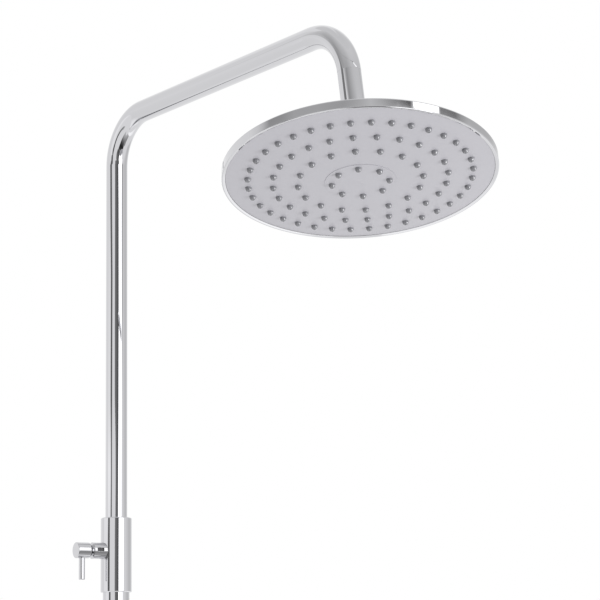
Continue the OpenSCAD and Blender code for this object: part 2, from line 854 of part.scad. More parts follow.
module spindle_o_ring() {
    color(rubber) at_diverter() shaft_ring(spindle_r, spindle_ring);
}

module diverter_knob() {
    knob_edge = 0.4;
    color(chrome) at_diverter() difference() {
        rotate_extrude() polygon([
            [0, knob_in], [neck_r_knob, knob_in], [knob_r, knob_in + neck_cut],
            [knob_r, knob_out - knob_edge], [knob_r - knob_edge, knob_out], [0, knob_out]
        ]);
        translate([0, 0, knob_in - cut]) cylinder(h = spindle_end - knob_in + cut, r = spindle_r + slip);
        translate([-pin_seat, 0, pin_x]) rotate([0, -90, 0]) cylinder(h = knob_r, r = pin_r);
        translate([0, 0, pin_x]) rotate([0, 90, 0]) cylinder(h = knob_r + cut, r = set_r);
    }
}

module lever_pin() {
    pin_len = pin_drop - pin_seat;
    color(chrome) at_diverter(pin_x) rotate([0, -90, 0]) translate([0, 0, pin_seat])
        rotate_extrude() polygon([
            [0, 0], [pin_r, 0], [pin_r, pin_len - pin_edge], [pin_r - pin_edge, pin_len], [0, pin_len]
        ]);
}

module knob_set_screw() {
    color(steel) at_diverter(pin_x) rotate([0, 90, 0]) set_screw(spindle_r, knob_r - 2 * screw_sink);
}

// Riser and arm

module riser_tube() {
    color(chrome) difference() {
        riser_rod(tube_r);
        riser_rod(tube_in, cut);
    }
}

module riser_ferrule() {
    color(brass) at_column(collar_foot) difference() {
        union() {
            translate([0, 0, collar_h - cut]) cylinder(h = ferrule_lift + cut, r = tube_in);
            cylinder(h = collar_h, r = tube_r);
            translate([0, 0, ferrule_foot]) cylinder(h = cut - ferrule_foot, r = ferrule_r - slip);
        }
        translate([0, 0, ferrule_foot - cut])
            cylinder(h = collar_h + ferrule_lift - ferrule_foot + 2 * cut, r = riser_port);
        shaft_groove(tube_r, collar_h / 2, riser_groove_w, tube_r - riser_groove_r);
        for (z = ferrule_rings) shaft_groove(ferrule_r - slip, z);
    }
}

module riser_o_rings() {
    color(rubber) at_column(collar_foot) for (z = ferrule_rings) bore_ring(ferrule_r, z);
}

module arm_outlet() {
    color(brass) at_leg() difference() {
        union() {
            translate([0, 0, tube_end - cut]) cylinder(h = outlet_lift + cut, r = leg_in);
            translate([0, 0, tube_end - flange_t]) cylinder(h = flange_t, r = tube_r);
            translate([0, 0, thread_end]) cylinder(h = thread_len + cut, r = thread_r - slip);
        }
        translate([0, 0, thread_end - cut])
            cylinder(h = thread_len + flange_t + outlet_lift + 2 * cut, r = water_r);
    }
}

module arm_washer() {
    washer_r = thread_r - 4 * slip;
    color(rubber) at_leg() translate([0, 0, washer_seat]) tube(washer_t, washer_r, washer_r - washer_w);
}

module ball_stem() {
    corner_r = nut_af / cos(30) / 2;
    nut_edge = 1.5;
    flat_r = nut_af / 2 - 0.5;
    color(chrome) at_leg() difference() {
        union() {
            sphere(r = ball_r);
            cylinder(h = neck_top + cut, r = neck_r);
            intersection() {
                translate([0, 0, neck_top]) cylinder(h = nut_h, r = corner_r, $fn = 6);
                translate([0, 0, neck_top]) rotate_extrude() polygon([
                    [0, 0], [flat_r, 0], [corner_r, nut_edge],
                    [corner_r, nut_h - nut_edge], [flat_r, nut_h], [0, nut_h]
                ]);
            }
        }
        translate([0, 0, washer_seat]) cylinder(h = nut_h, r = thread_r);
        translate([0, 0, washer_seat - regulator_h]) cylinder(h = regulator_h + cut, r = water_r);
        translate([0, 0, -ball_r - cut]) cylinder(h = ball_r + neck_top + 2 * cut, r = stem_bore);
        translate([0, 0, -ball_r - cut]) cylinder(h = ball_r + cut - ball_flat, r = ball_r);
    }
}

module flow_regulator() {
    holes = 6;
    hole_ring = 2.4;
    hole_r = 0.8;
    color(plastic) at_leg() translate([0, 0, washer_seat - regulator_h]) difference() {
        cylinder(h = regulator_h, r = water_r - slip);
        for (i = [0 : holes - 1])
            rotate([0, 0, i * 360 / holes]) translate([hole_ring, 0, -cut])
                cylinder(h = regulator_h + 2 * cut, r = hole_r);
    }
}

// Ball joint

module ball_glide_ring() {
    color(plastic) at_leg() difference() {
        intersection() {
            sphere(r = glide_out);
            translate([0, 0, glide_low]) cylinder(h = glide_high - glide_low, r = glide_out + cut);
        }
        sphere(r = glide_in);
    }
}

module ball_seat() {
    color(plastic) at_head() difference() {
        translate([0, 0, seat_bottom]) cylinder(h = seat_h, r = hub_r - slip);
        sphere(r = glide_in);
        translate([0, 0, seat_bottom - cut]) cylinder(h = seat_h + cut, r = hub_bore);
    }
}

module swivel_collar() {
    color(chrome) at_head() difference() {
        rotate_extrude() polygon([
            [0, collar_bottom], [collar_r - collar_edge / 2, collar_bottom],
            [collar_r, collar_bottom + collar_edge / 2], [collar_r, collar_top - collar_edge * 2],
            [collar_r - collar_edge * 2, collar_top], [0, collar_top]
        ]);
        sphere(r = collar_in);
        translate([0, 0, collar_bottom - cut])
            cylinder(h = seat_top + clear - collar_bottom + cut, r = hub_r);
        translate([0, 0, collar_top - cut]) cylinder(h = 2 * cut, r = mouth_r);
    }
}

module hub_washer() {
    color(rubber) at_head() translate([0, 0, hub_top]) tube(hub_washer_t, hub_r - 0.5, hub_bore);
}

// Head

module head_housing() {
    rim_edge = 0.8;
    crown_w = 1.5;
    color(chrome) at_head() rotate_extrude() polygon([
        [hub_bore, hub_top], [hub_r - slip, hub_top], [hub_r - slip, hub_z], [shoulder_r, hub_z],
        [head_r - crown_w, rim_top + crown_w / 3], [head_r - rim_edge / 2, rim_top],
        [head_r, rim_top - rim_edge], [head_r, rim_low + rim_edge],
        [head_r - rim_edge / 3, rim_low + rim_edge / 4], [head_r - rim_edge, rim_low],
        [rim_in, lip_in_z], [rim_in, rim_top - back_wall],
        [rim_in - inner_edge, rim_top - back_wall + inner_edge / 2],
        [shoulder_r, hub_z - back_wall], [hub_bore, hub_z - back_wall]
    ]);
}

module back_plate() {
    back_t = plate_up - plate_low;
    tube_h = neck_tube_top - plate_low;
    color(plastic) at_head() translate([0, 0, plate_low]) difference() {
        union() {
            cylinder(h = back_t, r = face_r - slip);
            cylinder(h = tube_h, r = neck_tube_r);
        }
        translate([0, 0, -cut]) cylinder(h = tube_h + 2 * cut, r = neck_bore);
        shaft_groove(neck_tube_r, neck_ring - plate_low);
        at_plate_screws() translate([0, 0, -cut])
            cylinder(h = back_t + 2 * cut, r = plate_screw_r + slip);
    }
}

module neck_o_ring() {
    color(rubber) at_head() bore_ring(hub_bore, neck_ring);
}

// Height at radius r of the domed surface that lies h above the face's lower surface
function face_z(r, h = 0) = dome_z - sqrt((dome_r - h) * (dome_r - h) - r * r);

// Children placed at each nozzle, with local Z up and the origin on the face's lower surface
module at_nozzles() {
    for (ring = nozzle_rings)
        for (i = [0 : ring[0] - 1])
            rotate([0, 0, ring_turn + i * 360 / ring[0]])
                translate([ring_r * ring[1], 0, face_z(ring_r * ring[1])]) children();
}

module at_plate_screws(z = 0) {
    for (i = [0 : screw_count - 1])
        rotate([0, 0, i * 360 / screw_count]) translate([screw_ring, 0, z]) children();
}

// Domed sheet of radius r between two heights above the face's lower surface
module dome_sheet(r, low, high) {
    rotate_extrude() difference() {
        translate([0, dome_z]) circle(r = dome_r - low, $fn = 1440);
        translate([0, dome_z]) circle(r = dome_r - high, $fn = 1440);
        translate([r, -dome_r]) square([2 * dome_r, 4 * dome_r]);
        translate([-2 * dome_r, -dome_r]) square([2 * dome_r, 4 * dome_r]);
        translate([-dome_r, dome_z]) square([2 * dome_r, 2 * dome_r]);
    }
}

module face_plate() {
    half = face_t / 2;
    wall_low = face_z(face_r) + half;
    boss_low = face_z(screw_ring) + half;
    color(face_grey) at_head() difference() {
        union() {
            dome_sheet(face_r, 0, face_t);
            dome_sheet(disc_r, -disc_h, half);
            translate([0, 0, wall_low]) tube(plate_low - wall_low, face_r, wall_in);
            at_plate_screws(boss_low) cylinder(h = plate_low - boss_low, r = boss_r);
        }
        at_nozzles() translate([0, 0, -disc_h - cut])
            cylinder(h = disc_h + face_t + 2 * cut, r = nozzle_r + slip);
        at_plate_screws(boss_low + boss_floor) cylinder(h = plate_low - boss_low, r = plate_screw_r);
    }
}

module nozzle_mat() {
    color(nozzle_grey) at_head() difference() {
        union() {
            dome_sheet(mat_r, face_t + slip, face_t + mat_t);
            at_nozzles() {
                cylinder(h = face_t + mat_t / 2, r = nozzle_r);
                translate([0, 0, -nozzle_h]) cylinder(h = nozzle_h, r1 = tip_r, r2 = nozzle_r);
            }
        }
        at_nozzles() translate([0, 0, -nozzle_h - cut])
            cylinder(h = nozzle_h + face_t + mat_t + 2 * cut, r = jet_r);
        at_plate_screws(face_z(screw_ring))
            cylinder(h = face_t + mat_t + cut, r = boss_r + slip);
    }
}

module plate_screws() {
    screw_low = face_z(screw_ring) + face_t;
    color(steel) at_head() at_plate_screws() {
        translate([0, 0, screw_low]) cylinder(h = plate_up - screw_low + slip, r = plate_screw_r);
        translate([0, 0, plate_up]) cylinder(h = plate_head_h, r = plate_head_r);
    }
}

wall_nipple();
nipple_o_rings();
inlet_strainer();
inlet_body();
inlet_set_screw();
inlet_cover();
inlet_cover_gasket();
rail_lower_o_ring();
lower_rail();
hand_tube();
hand_tube_o_rings();
hose_outlet();
hose_outlet_o_ring();
check_valve_case();
check_valve_poppet();
check_valve_spring();
bracket_wall_plate();
bracket_arm();
bracket_liner();
bracket_set_screw();
bracket_cover();
bracket_cover_gasket();
diverter_body();
rail_upper_o_ring();
rail_set_screw();
riser_set_screw();
diverter_cartridge();
cartridge_o_rings();
diverter_bonnet();
bonnet_o_ring();
diverter_spindle();
spindle_o_ring();
diverter_knob();
lever_pin();
knob_set_screw();
riser_tube();
riser_ferrule();
riser_o_rings();
arm_outlet();
arm_washer();
ball_stem();
flow_regulator();
ball_glide_ring();
ball_seat();
swivel_collar();
hub_washer();
head_housing();
back_plate();
neck_o_ring();
nozzle_mat();
face_plate();
plate_screws();
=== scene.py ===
"""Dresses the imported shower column: polished chrome over the tubes and fittings, a satin grey
face with soft nozzles, and a plain white studio. Sizes are in metres."""

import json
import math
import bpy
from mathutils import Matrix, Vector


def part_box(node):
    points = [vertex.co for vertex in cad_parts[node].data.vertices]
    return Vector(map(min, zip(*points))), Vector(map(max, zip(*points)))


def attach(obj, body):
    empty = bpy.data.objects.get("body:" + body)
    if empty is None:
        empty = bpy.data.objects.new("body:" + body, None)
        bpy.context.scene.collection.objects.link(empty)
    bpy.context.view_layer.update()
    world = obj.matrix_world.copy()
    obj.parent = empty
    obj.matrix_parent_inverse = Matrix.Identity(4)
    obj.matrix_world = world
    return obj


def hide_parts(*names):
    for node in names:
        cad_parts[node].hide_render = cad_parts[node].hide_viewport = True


bl_info = {
    "name": "Shower Column",
    "version": (1, 0, 0),
    "blender": (4, 5, 0),
    "location": "3D View > Sidebar > Shower",
    "description": "Finishes the pieces of a shower column and sets up its studio",
    "category": "Object",
}

import bpy
import numpy as np
from bpy.props import FloatProperty, FloatVectorProperty, PointerProperty
from mathutils import Matrix

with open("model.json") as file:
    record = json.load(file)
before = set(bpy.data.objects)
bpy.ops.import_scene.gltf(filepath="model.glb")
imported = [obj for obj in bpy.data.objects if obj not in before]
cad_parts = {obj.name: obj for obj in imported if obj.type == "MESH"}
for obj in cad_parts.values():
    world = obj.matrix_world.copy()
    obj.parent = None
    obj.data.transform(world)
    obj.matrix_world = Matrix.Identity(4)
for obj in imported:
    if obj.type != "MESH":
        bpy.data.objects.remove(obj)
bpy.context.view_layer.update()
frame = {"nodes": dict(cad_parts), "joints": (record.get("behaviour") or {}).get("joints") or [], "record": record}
JOINTS = {joint["name"]: joint for joint in frame["joints"]}
SLOT_OF = {part["node"]: part["material_slot"] for part in frame["record"]["subparts"]}
BODY_OF = {
    node: body for body, nodes in frame["record"]["behaviour"]["bodies"].items() for node in nodes}
MM = 0.001

# The clearance between pieces that fit together
FIT = 0.05 * MM

# The materials made so far, by key
FINISHED = {}

# The two colour sockets of a Mix node and its colour output, by number
MIX_FIRST, MIX_SECOND, MIX_RESULT = 6, 7, 2


# Frames

def joint_place(name):
    """Where a joint's axis passes, and the axis itself, as arrays."""
    joint = JOINTS[name]
    return np.array(joint["pos_m"], float), np.array(joint["axis"], float)


def axes_about(up, sideways):
    """Three unit axes: up, and two square to it, the first as near to sideways as it can be."""
    up = np.asarray(up, float)
    up = up / np.linalg.norm(up)
    first = np.asarray(sideways, float)
    first = first - (first @ up) * up
    first = first / np.linalg.norm(first)
    return np.stack([first, np.cross(up, first), up])


def placed(points, origin, axes):
    """Local points moved to origin and turned so that local X, Y and Z lie along the axes."""
    return points @ axes + np.asarray(origin, float)


COLUMN, COLUMN_UP = joint_place("riser_swivel")
KNOB_CENTRE, KNOB_OUT = joint_place("diverter_turn")
BALL_CENTRE, HEAD_UP = joint_place("head_spin")
COLUMN_AXES = axes_about(COLUMN_UP, (1, 0, 0))
KNOB_AXES = axes_about(KNOB_OUT, (0, 0, 1))
PIN_AXES = axes_about((0, 0, -1), KNOB_OUT)
HEAD_AXES = axes_about(HEAD_UP, (HEAD_UP[2], 0, -HEAD_UP[0]))
WALL_AXES = axes_about((0, -1, 0), (1, 0, 0))
INLET_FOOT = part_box("inlet_body")[0].z


# Sizes and colours that a user would change

def length_setting(name, description, default):
    """A property that holds a length in metres."""
    return FloatProperty(name=name, description=description, default=default, unit="LENGTH")


def angle_setting(name, description, degrees):
    """A property that holds an angle, with its default in degrees."""
    return FloatProperty(
        name=name, description=description, default=math.radians(degrees), subtype="ANGLE")


def colour_setting(name, description, default):
    """A property that holds a colour as linear light."""
    return FloatVectorProperty(
        name=name, description=description, default=default, subtype="COLOR", size=3)


class HeadSizes(bpy.types.PropertyGroup):
    """The head, its face and its nozzles. Heights are above the ball's centre."""

    diameter: length_setting("Head diameter", "Outer diameter of the head", 247 * MM)
    rim_top: length_setting("Rim top", "Height of the rim's upper edge", -21 * MM)
    rim_height: length_setting("Rim height", "Height of the upright rim", 9.3 * MM)
    rim_round: length_setting("Rim rounding", "Rounding of the rim's lower edge", 2.0 * MM)
    crown_round: length_setting("Crown rounding", "Rounding of the rim's upper edge", 1.0 * MM)
    lip: length_setting("Lip width", "Width of the lip round the face", 3.35 * MM)
    lip_rise: length_setting(
        "Lip rise", "Rise of the lip from its outer to its inner edge", 1.3 * MM)
    wall: length_setting("Housing wall", "Wall of the housing", 2.5 * MM)
    hub_top: length_setting("Hub top", "Height of the hub's seat for its washer", -12.2 * MM)
    hub_foot: length_setting("Hub foot", "Height where the hub meets the housing's back", -17 * MM)
    hub: length_setting("Hub radius", "Radius of the hub that the collar screws onto", 13.95 * MM)
    hub_bore: length_setting("Hub bore", "Radius of the water's way in", 7 * MM)
    shoulder: length_setting("Shoulder", "Radius of the flat round the hub", 20 * MM)
    bulge: length_setting(
        "Face bulge", "Rise of the domed face from its middle to the outer ring", 4.2 * MM)
    face_thickness: length_setting("Face thickness", "Thickness of the face plate", 2.2 * MM)
    disc_height: length_setting(
        "Disc height", "How far the face's middle disc stands proud", 0.4 * MM)
    outer_ring: length_setting("Outer ring", "Radius of the outer ring of nozzles", 100.5 * MM)
    ring_turn: angle_setting("Ring turn", "Direction of the ray that all rings start from", 134.5)


class NozzleSizes(bpy.types.PropertyGroup):
    """One soft nozzle and the mat that carries them all."""

    radius: length_setting("Nozzle radius", "Radius of a nozzle where it leaves the face", 2.9 * MM)
    height: length_setting("Nozzle height", "Height of a nozzle below the face", 3.5 * MM)
    jet: length_setting("Jet radius", "Radius of the hole through a nozzle", 0.5 * MM)
    mat: length_setting("Mat thickness", "Thickness of the mat behind the face", 1.2 * MM)
    mat_radius: length_setting("Mat radius", "Radius of the mat", 116.95 * MM)


class DiverterSizes(bpy.types.PropertyGroup):
    """The diverter's knob and its pin. Distances out are from the column's axis."""

    knob: length_setting("Knob radius", "Radius of the knob", 8 * MM)
    knob_from: length_setting("Knob start", "Distance out to the knob's inner end", 29.5 * MM)
    knob_length: length_setting("Knob length", "Length of the knob", 15.7 * MM)
    neck: length_setting("Neck radius", "Radius of the knob's inner end", 5.5 * MM)
    neck_length: length_setting(
        "Neck length", "Length of the cone at the knob's inner end", 1.8 * MM)
    bore: length_setting("Knob bore", "Radius of the knob's bore for the spindle", 3.05 * MM)
    bore_end: length_setting("Bore end", "Distance out to the end of the bore", 43.4 * MM)
    pin: length_setting("Pin radius", "Radius of the lever pin", 3.1 * MM)
    pin_at: length_setting("Pin place", "Distance out to the pin's axis", 38.3 * MM)
    pin_from: length_setting(
        "Pin start", "Distance of the pin's seat from the knob's axis", 3.4 * MM)
    pin_to: length_setting("Pin end", "Distance of the pin's tip from the knob's axis", 29.3 * MM)


class FittingSizes(bpy.types.PropertyGroup):
    """The covers, the threaded ends and the collar of the ball joint."""

    cover: length_setting("Cover radius", "Radius of a wall cover", 31 * MM)
    cover_from: length_setting("Cover start", "Distance from the wall to a cover's edge", 1 * MM)
    cover_to: length_setting("Cover depth", "Distance from the wall to a cover's face", 10 * MM)
    cover_wall: length_setting("Cover wall", "Thickness of a cover's sheet", 1.6 * MM)
    cover_round: length_setting("Cover rounding", "Rounding of a cover's outer edge", 2.6 * MM)
    inlet: length_setting("Inlet radius", "Radius of the inlet's branch", 14.5 * MM)
    post: length_setting("Post radius", "Radius of the bracket's post", 9.5 * MM)
    thread: length_setting("Thread radius", "Outer radius of the pipe threads", 10.4 * MM)
    pitch: length_setting(
        "Thread pitch", "Distance from one turn of a thread to the next", 1.814 * MM)
    thread_depth: length_setting("Thread depth", "Depth of a thread", 1.1 * MM)
    collar: length_setting("Collar radius", "Radius of the ball joint's collar", 17.5 * MM)
    collar_foot: length_setting(
        "Collar foot", "Height of the collar's lower edge above the ball's centre", -16.7 * MM)
    collar_top: length_setting(
        "Collar top", "Height of the collar's upper edge above the ball's centre", 7 * MM)
    collar_round: length_setting("Collar rounding", "Rounding of the collar's shoulder", 2.8 * MM)
    cup: length_setting(
        "Cup radius", "Radius of the hollow that holds the ball's glide ring", 11.8 * MM)


class Finishes(bpy.types.PropertyGroup):
    """Colours of the finishes, as linear light."""

    chrome: colour_setting("Chrome", "Colour of the chrome plating", (0.64, 0.64, 0.66))
    face: colour_setting("Face", "Colour of the satin face plate", (0.515, 0.508, 0.545))
    nozzle: colour_setting("Nozzles", "Colour of the soft nozzles", (0.17, 0.17, 0.185))
    brass: colour_setting("Brass", "Colour of the turned brass", (0.72, 0.53, 0.24))
    steel: colour_setting("Steel", "Colour of the stainless steel", (0.52, 0.53, 0.55))
    rubber: colour_setting("Rubber", "Colour of the seals and gaskets", (0.02, 0.02, 0.022))
    plastic: colour_setting("Plastic", "Colour of the moulded inner pieces", (0.72, 0.72, 0.68))


class StudioSizes(bpy.types.PropertyGroup):
    """The camera and the studio."""

    camera_at: FloatVectorProperty(
        name="Camera place", description="Where the camera stands",
        default=(-1.1073, -1.72365, 0.2875), subtype="XYZ", size=3, unit="LENGTH")
    camera_turn: angle_setting(
        "Camera turn", "Heading of the camera, from the wall's normal", -39.12)
    camera_pitch: angle_setting("Camera pitch", "How far the camera looks up", 11.66)
    camera_roll: angle_setting("Camera roll", "Roll of the camera", -1.009)
    lens: FloatProperty(
        name="Lens", description="Focal length in millimetres on a 36 mm sensor",
        default=117.24)
    floor: length_setting("Floor", "Height of the floor", -1.3)
    world_light: FloatProperty(
        name="World light", description="Strength of the white surroundings on matt surfaces",
        default=0.85)
    tent: length_setting("Tent radius", "Distance of the cards that the chrome mirrors", 24.0)


class ColumnSettings(bpy.types.PropertyGroup):
    """All settings of the shower column."""

    head: PointerProperty(type=HeadSizes)
    nozzles: PointerProperty(type=NozzleSizes)
    diverter: PointerProperty(type=DiverterSizes)
    fittings: PointerProperty(type=FittingSizes)
    finishes: PointerProperty(type=Finishes)
    studio: PointerProperty(type=StudioSizes)


def settings():
    """The scene's settings of the shower column."""
    return bpy.context.scene.shower_column


# Surfaces

# The largest share of a side that one corner's rounding takes, and that the hold beyond it takes
ROUND_SHARE = 0.42
HOLD_SHARE = 0.05


def softened(profile, radius, closed=False, steps=5, hold=0.12 * MM):
    """A profile whose corners are arcs. Each corner's two tangent points lie radius away along its
    sides, or less where a side is short. The arc is the quadratic curve between them, and one more
    point on each side, hold away, keeps the flats flat in the shading."""
    corners = np.asarray(profile, float)
    count = len(corners)
    radii = np.broadcast_to(np.asarray(radius, float), (count,))
    made = []
    for i in range(count):
        here = corners[i]
        if not closed and i in (0, count - 1):
            made.append(here)
            continue
        back, ahead = corners[i - 1] - here, corners[(i + 1) % count] - here
        back_length, ahead_length = np.linalg.norm(back), np.linalg.norm(ahead)
        reach = min(radii[i], ROUND_SHARE * back_length, ROUND_SHARE * ahead_length)
        if reach <= 0:
            made.append(here)
            continue
        start, end = here + back / back_length * reach, here + ahead / ahead_length * reach
        room = min(hold, HOLD_SHARE * back_length, HOLD_SHARE * ahead_length)
        t = np.linspace(0, 1, steps + 1)[:, None]
        made.append(start + back / back_length * room)
        made.extend((1 - t) ** 2 * start + 2 * t * (1 - t) * here + t**2 * end)
        made.append(end + ahead / ahead_length * room)
    return np.array(made)


def grid_faces(rows, columns, wrap_rows, wrap_columns, first=0):
    """Quads of a grid of points, as index arrays. A wrapped side joins its last line to its first."""
    r = np.arange(rows if wrap_rows else rows - 1)
    c = np.arange(columns if wrap_columns else columns - 1)
    r, c = (a.ravel() for a in np.meshgrid(r, c, indexing="ij"))
    r2, c2 = (r + 1) % rows, (c + 1) % columns
    return first + np.stack([r * columns + c, r * columns + c2, r2 * columns + c2, r2 * columns + c], 1)


def facing_out(points, faces):
    """The faces, all turned round if the volume that they enclose comes out negative. The volume is
    the sum over each face's triangles of the triple product of its corners, divided by six."""
    first = points[faces[:, 0]]
    total = 0.0
    for k in range(1, faces.shape[1] - 1):
        cross = np.cross(points[faces[:, k]], points[faces[:, k + 1]])
        total += np.einsum("ij,ij->i", first, cross).sum()
    return faces if total > 0 else faces[:, ::-1]


def make_piece(name, points, face_sets, material, body, nodes=()):
    """A smooth mesh object from points and sets of faces, with its material, which rides on a body
    and stands for CAD nodes."""
    loops = np.concatenate([faces.ravel() for faces in face_sets]).astype(np.int32)
    sizes = np.concatenate([np.full(len(faces), faces.shape[1]) for faces in face_sets])
    starts = np.concatenate([[0], np.cumsum(sizes)[:-1]]).astype(np.int32)
    mesh = bpy.data.meshes.new(name)
    mesh.vertices.add(len(points))
    mesh.vertices.foreach_set("co", np.asarray(points, np.float32).ravel())
    mesh.loops.add(len(loops))
    mesh.loops.foreach_set("vertex_index", loops)
    mesh.polygons.add(len(sizes))
    mesh.polygons.foreach_set("loop_start", starts)
    mesh.polygons.foreach_set("use_smooth", np.ones(len(sizes), bool))
    mesh.update(calc_edges=True)
    mesh.validate()
    mesh.materials.append(material)
    piece = bpy.data.objects.new(name, mesh)
    bpy.context.scene.collection.objects.link(piece)
    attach(piece, body)
    if nodes:
        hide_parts(*nodes)
    return piece


def lathe(profile, segments=128, closed=True, groove=None):
    """Points and faces of a profile turned round local Z. A profile is rows of radius and height,
    and a point at angle t is radius * cos t, radius * sin t, height. A closed profile's last point
    joins its first, and an open one ends on the axis, where a fan of triangles closes it. A groove
    is a depth that is taken off the radius, as a function of radius, height and angle."""
    profile = np.asarray(profile, float)
    angle = np.linspace(0, 2 * math.pi, segments, endpoint=False)[None, :]
    rings = profile if closed else profile[1:-1]
    height = np.repeat(rings[:, 1:], segments, 1)
    radius = np.repeat(rings[:, :1], segments, 1)
    if groove:
        radius = radius - groove(radius, height, angle)
    points = np.stack([radius * np.cos(angle), radius * np.sin(angle), height], -1).reshape(-1, 3)
    quads = grid_faces(len(rings), segments, closed, True)
    if closed:
        return points, [facing_out(points, quads)]
    count = len(points)
    points = np.concatenate([points, [[0, 0, profile[0, 1]], [0, 0, profile[-1, 1]]]])
    around = np.arange(segments)
    ahead = (around + 1) % segments
    last = (len(rings) - 1) * segments
    foot = np.stack([np.full(segments, count), ahead, around], 1)
    top = np.stack([np.full(segments, count + 1), last + around, last + ahead], 1)
    fans = np.concatenate([foot, top])
    whole = np.concatenate([quads[:, :3], quads[:, [0, 2, 3]], fans])
    if facing_out(points, whole) is not whole:
        quads, fans = quads[:, ::-1], fans[:, ::-1]
    return points, [quads, fans]


def copies(points, faces, origins):
    """The same closed shape at several origins, as one set of points and faces."""
    moved = (points[None] + np.asarray(origins, float)[:, None]).reshape(-1, 3)
    first = np.arange(len(origins)) * len(points)
    sets = [(f[None] + first[:, None, None]).reshape(-1, f.shape[1]) for f in faces]
    return moved, sets


def joined(*parts):
    """Several shapes as one set of points and faces."""
    points, sets, first = [], [], 0
    for part, faces in parts:
        sets.extend(f + first for f in faces)
        points.append(part)
        first += len(part)
    return np.concatenate(points), sets


def thread_groove(foot, top, radius, pitch, depth, fade):
    """The groove of a pipe thread between two heights. It is depth * (1 - cos(2 pi s)) / 2, where s
    is height / pitch - angle / (2 pi), and it fades out within fade of the two heights. Only
    points that lie on the thread's own outer radius are cut."""
    def groove(r, z, angle):
        turn = 2 * math.pi * z / pitch - angle
        edge = np.clip(np.minimum(z - foot, top - z) / fade, 0, 1)
        on_thread = (np.abs(r - radius) < 0.01 * MM) & (edge > 0)
        return np.where(on_thread, depth * (1 - np.cos(turn)) / 2 * edge * edge * (3 - 2 * edge), 0)
    return groove


def level_rows(radius, foot, top, count):
    """Points up a straight wall of a profile, evenly spaced from foot to top and close enough
    together to carry a thread."""
    return np.stack([np.full(count, radius), np.linspace(foot, top, count)], 1)


# Materials

class Value:
    """A number socket in a material. Arithmetic on it adds Math nodes."""

    def __init__(self, finish, socket):
        self.finish = finish
        self.socket = socket

    def math(self, operation, *terms):
        """The result of a Math node."""
        return self.finish.node("ShaderNodeMath", {"operation": operation}, dict(enumerate(terms)))

    def __add__(self, other):
        return self.math("ADD", self, other)

    def __radd__(self, other):
        return self.math("ADD", other, self)

    def __mul__(self, other):
        return self.math("MULTIPLY", self, other)

    def __rmul__(self, other):
        return self.math("MULTIPLY", other, self)

    def __lt__(self, other):
        """1 where the value is below the other, and 0 elsewhere."""
        return self.math("LESS_THAN", self, other)

    def __gt__(self, other):
        """1 where the value is above the other, and 0 elsewhere."""
        return self.math("LESS_THAN", other, self)

    def __or__(self, other):
        """The larger of the two."""
        return self.math("MAXIMUM", self, other)

    def __ror__(self, other):
        return self.math("MAXIMUM", other, self)


class Finish:
    """A material that is built node by node."""

    def __init__(self, name, kind="material"):
        if kind == "material":
            self.owner = bpy.data.materials.new(name)
        else:
            self.owner = bpy.data.worlds.new(name)
        self.owner.use_nodes = True
        self.tree = self.owner.node_tree
        self.tree.nodes.clear()

    def node(self, kind, options=None, values=None, output=0):
        """A node of a type, with its options set first and then the values or links of its
        sockets, which are given by name or by number. Returns one of its outputs as a Value,
        or None for a node that has no outputs."""
        made = self.tree.nodes.new(kind)
        for key, value in (options or {}).items():
            setattr(made, key, value)
        for key, value in (values or {}).items():
            if isinstance(value, Value):
                self.tree.links.new(value.socket, made.inputs[key])
            elif hasattr(value, "__len__") and len(value) == 3 and made.inputs[key].type == "RGBA":
                made.inputs[key].default_value = (*value, 1)
            else:
                made.inputs[key].default_value = value
        return Value(self, made.outputs[output]) if made.outputs else None

    def vector(self, operation, *terms):
        """The result of a Vector Math node, which is a number where the operation gives one."""
        output = "Value" if operation in ("DOT_PRODUCT", "LENGTH") else "Vector"
        return self.node(
            "ShaderNodeVectorMath", {"operation": operation}, dict(enumerate(terms)), output)

    def place(self):
        """Object coordinates, which are the frame's own."""
        return self.node("ShaderNodeTexCoord", output="Object")

    def noise(self, scale, detail=2.0, roughness=0.5, stretch=(1, 1, 1)):
        """Noise between 0 and 1 with so many features a metre."""
        spot = self.node("ShaderNodeMapping", {}, {"Vector": self.place(), "Scale": stretch})
        return self.node(
            "ShaderNodeTexNoise", {},
            {"Vector": spot, "Scale": scale, "Detail": detail, "Roughness": roughness})

    def tinted(self, colour, amount, scale):
        """The colour, a little lighter and darker in broad patches."""
        low = tuple(c * (1 - amount) for c in colour)
        high = tuple(min(1, c * (1 + amount)) for c in colour)
        return self.mixed(self.noise(scale), low, high)

    def mixed(self, share, low, high):
        """One colour turning into another as share goes from 0 to 1."""
        return self.node(
            "ShaderNodeMix", {"data_type": "RGBA"},
            {"Factor": share, MIX_FIRST: low, MIX_SECOND: high}, output=MIX_RESULT)

    def bump(self, height, distance, strength=1.0, edge=0.0):
        """A normal that follows a height between 0 and 1 over a distance in metres. Where edge is
        given, sharp edges are shaded as if rounded by it."""
        values = {"Height": height, "Distance": distance, "Strength": strength}
        if edge:
            values["Normal"] = self.node(
                "ShaderNodeBevel", {"samples": 6}, {"Radius": edge}, output="Normal")
        return self.node("ShaderNodeBump", {}, values)

    def surface(self, **values):
        """Ends the material with a Principled surface."""
        names = {key.replace("_", " ").title().replace("Ior", "IOR"): v for key, v in values.items()}
        self.end(self.node("ShaderNodeBsdfPrincipled", {}, names, output="BSDF"))
        return self.owner

    def end(self, shader, kind="ShaderNodeOutputMaterial"):
        """Links a shader to the output of the material or of the world."""
        self.node(kind, {}, {"Surface": shader})


# The roughness of chrome where it is clearest, and how far it rises in hazy patches
CLEAR = 0.02
HAZE = 0.035

# The bonnet's spanner slots: how far their floors reach from the knob's axis and out along it, the
# tone that the chrome is painted darker to there against its own, and how much rougher it is
SLOT_EDGE = 7.5 * MM
SLOT_END = 25 * MM
SLOT_TONE = 0.12
SLOT_ROUGH = 0.3

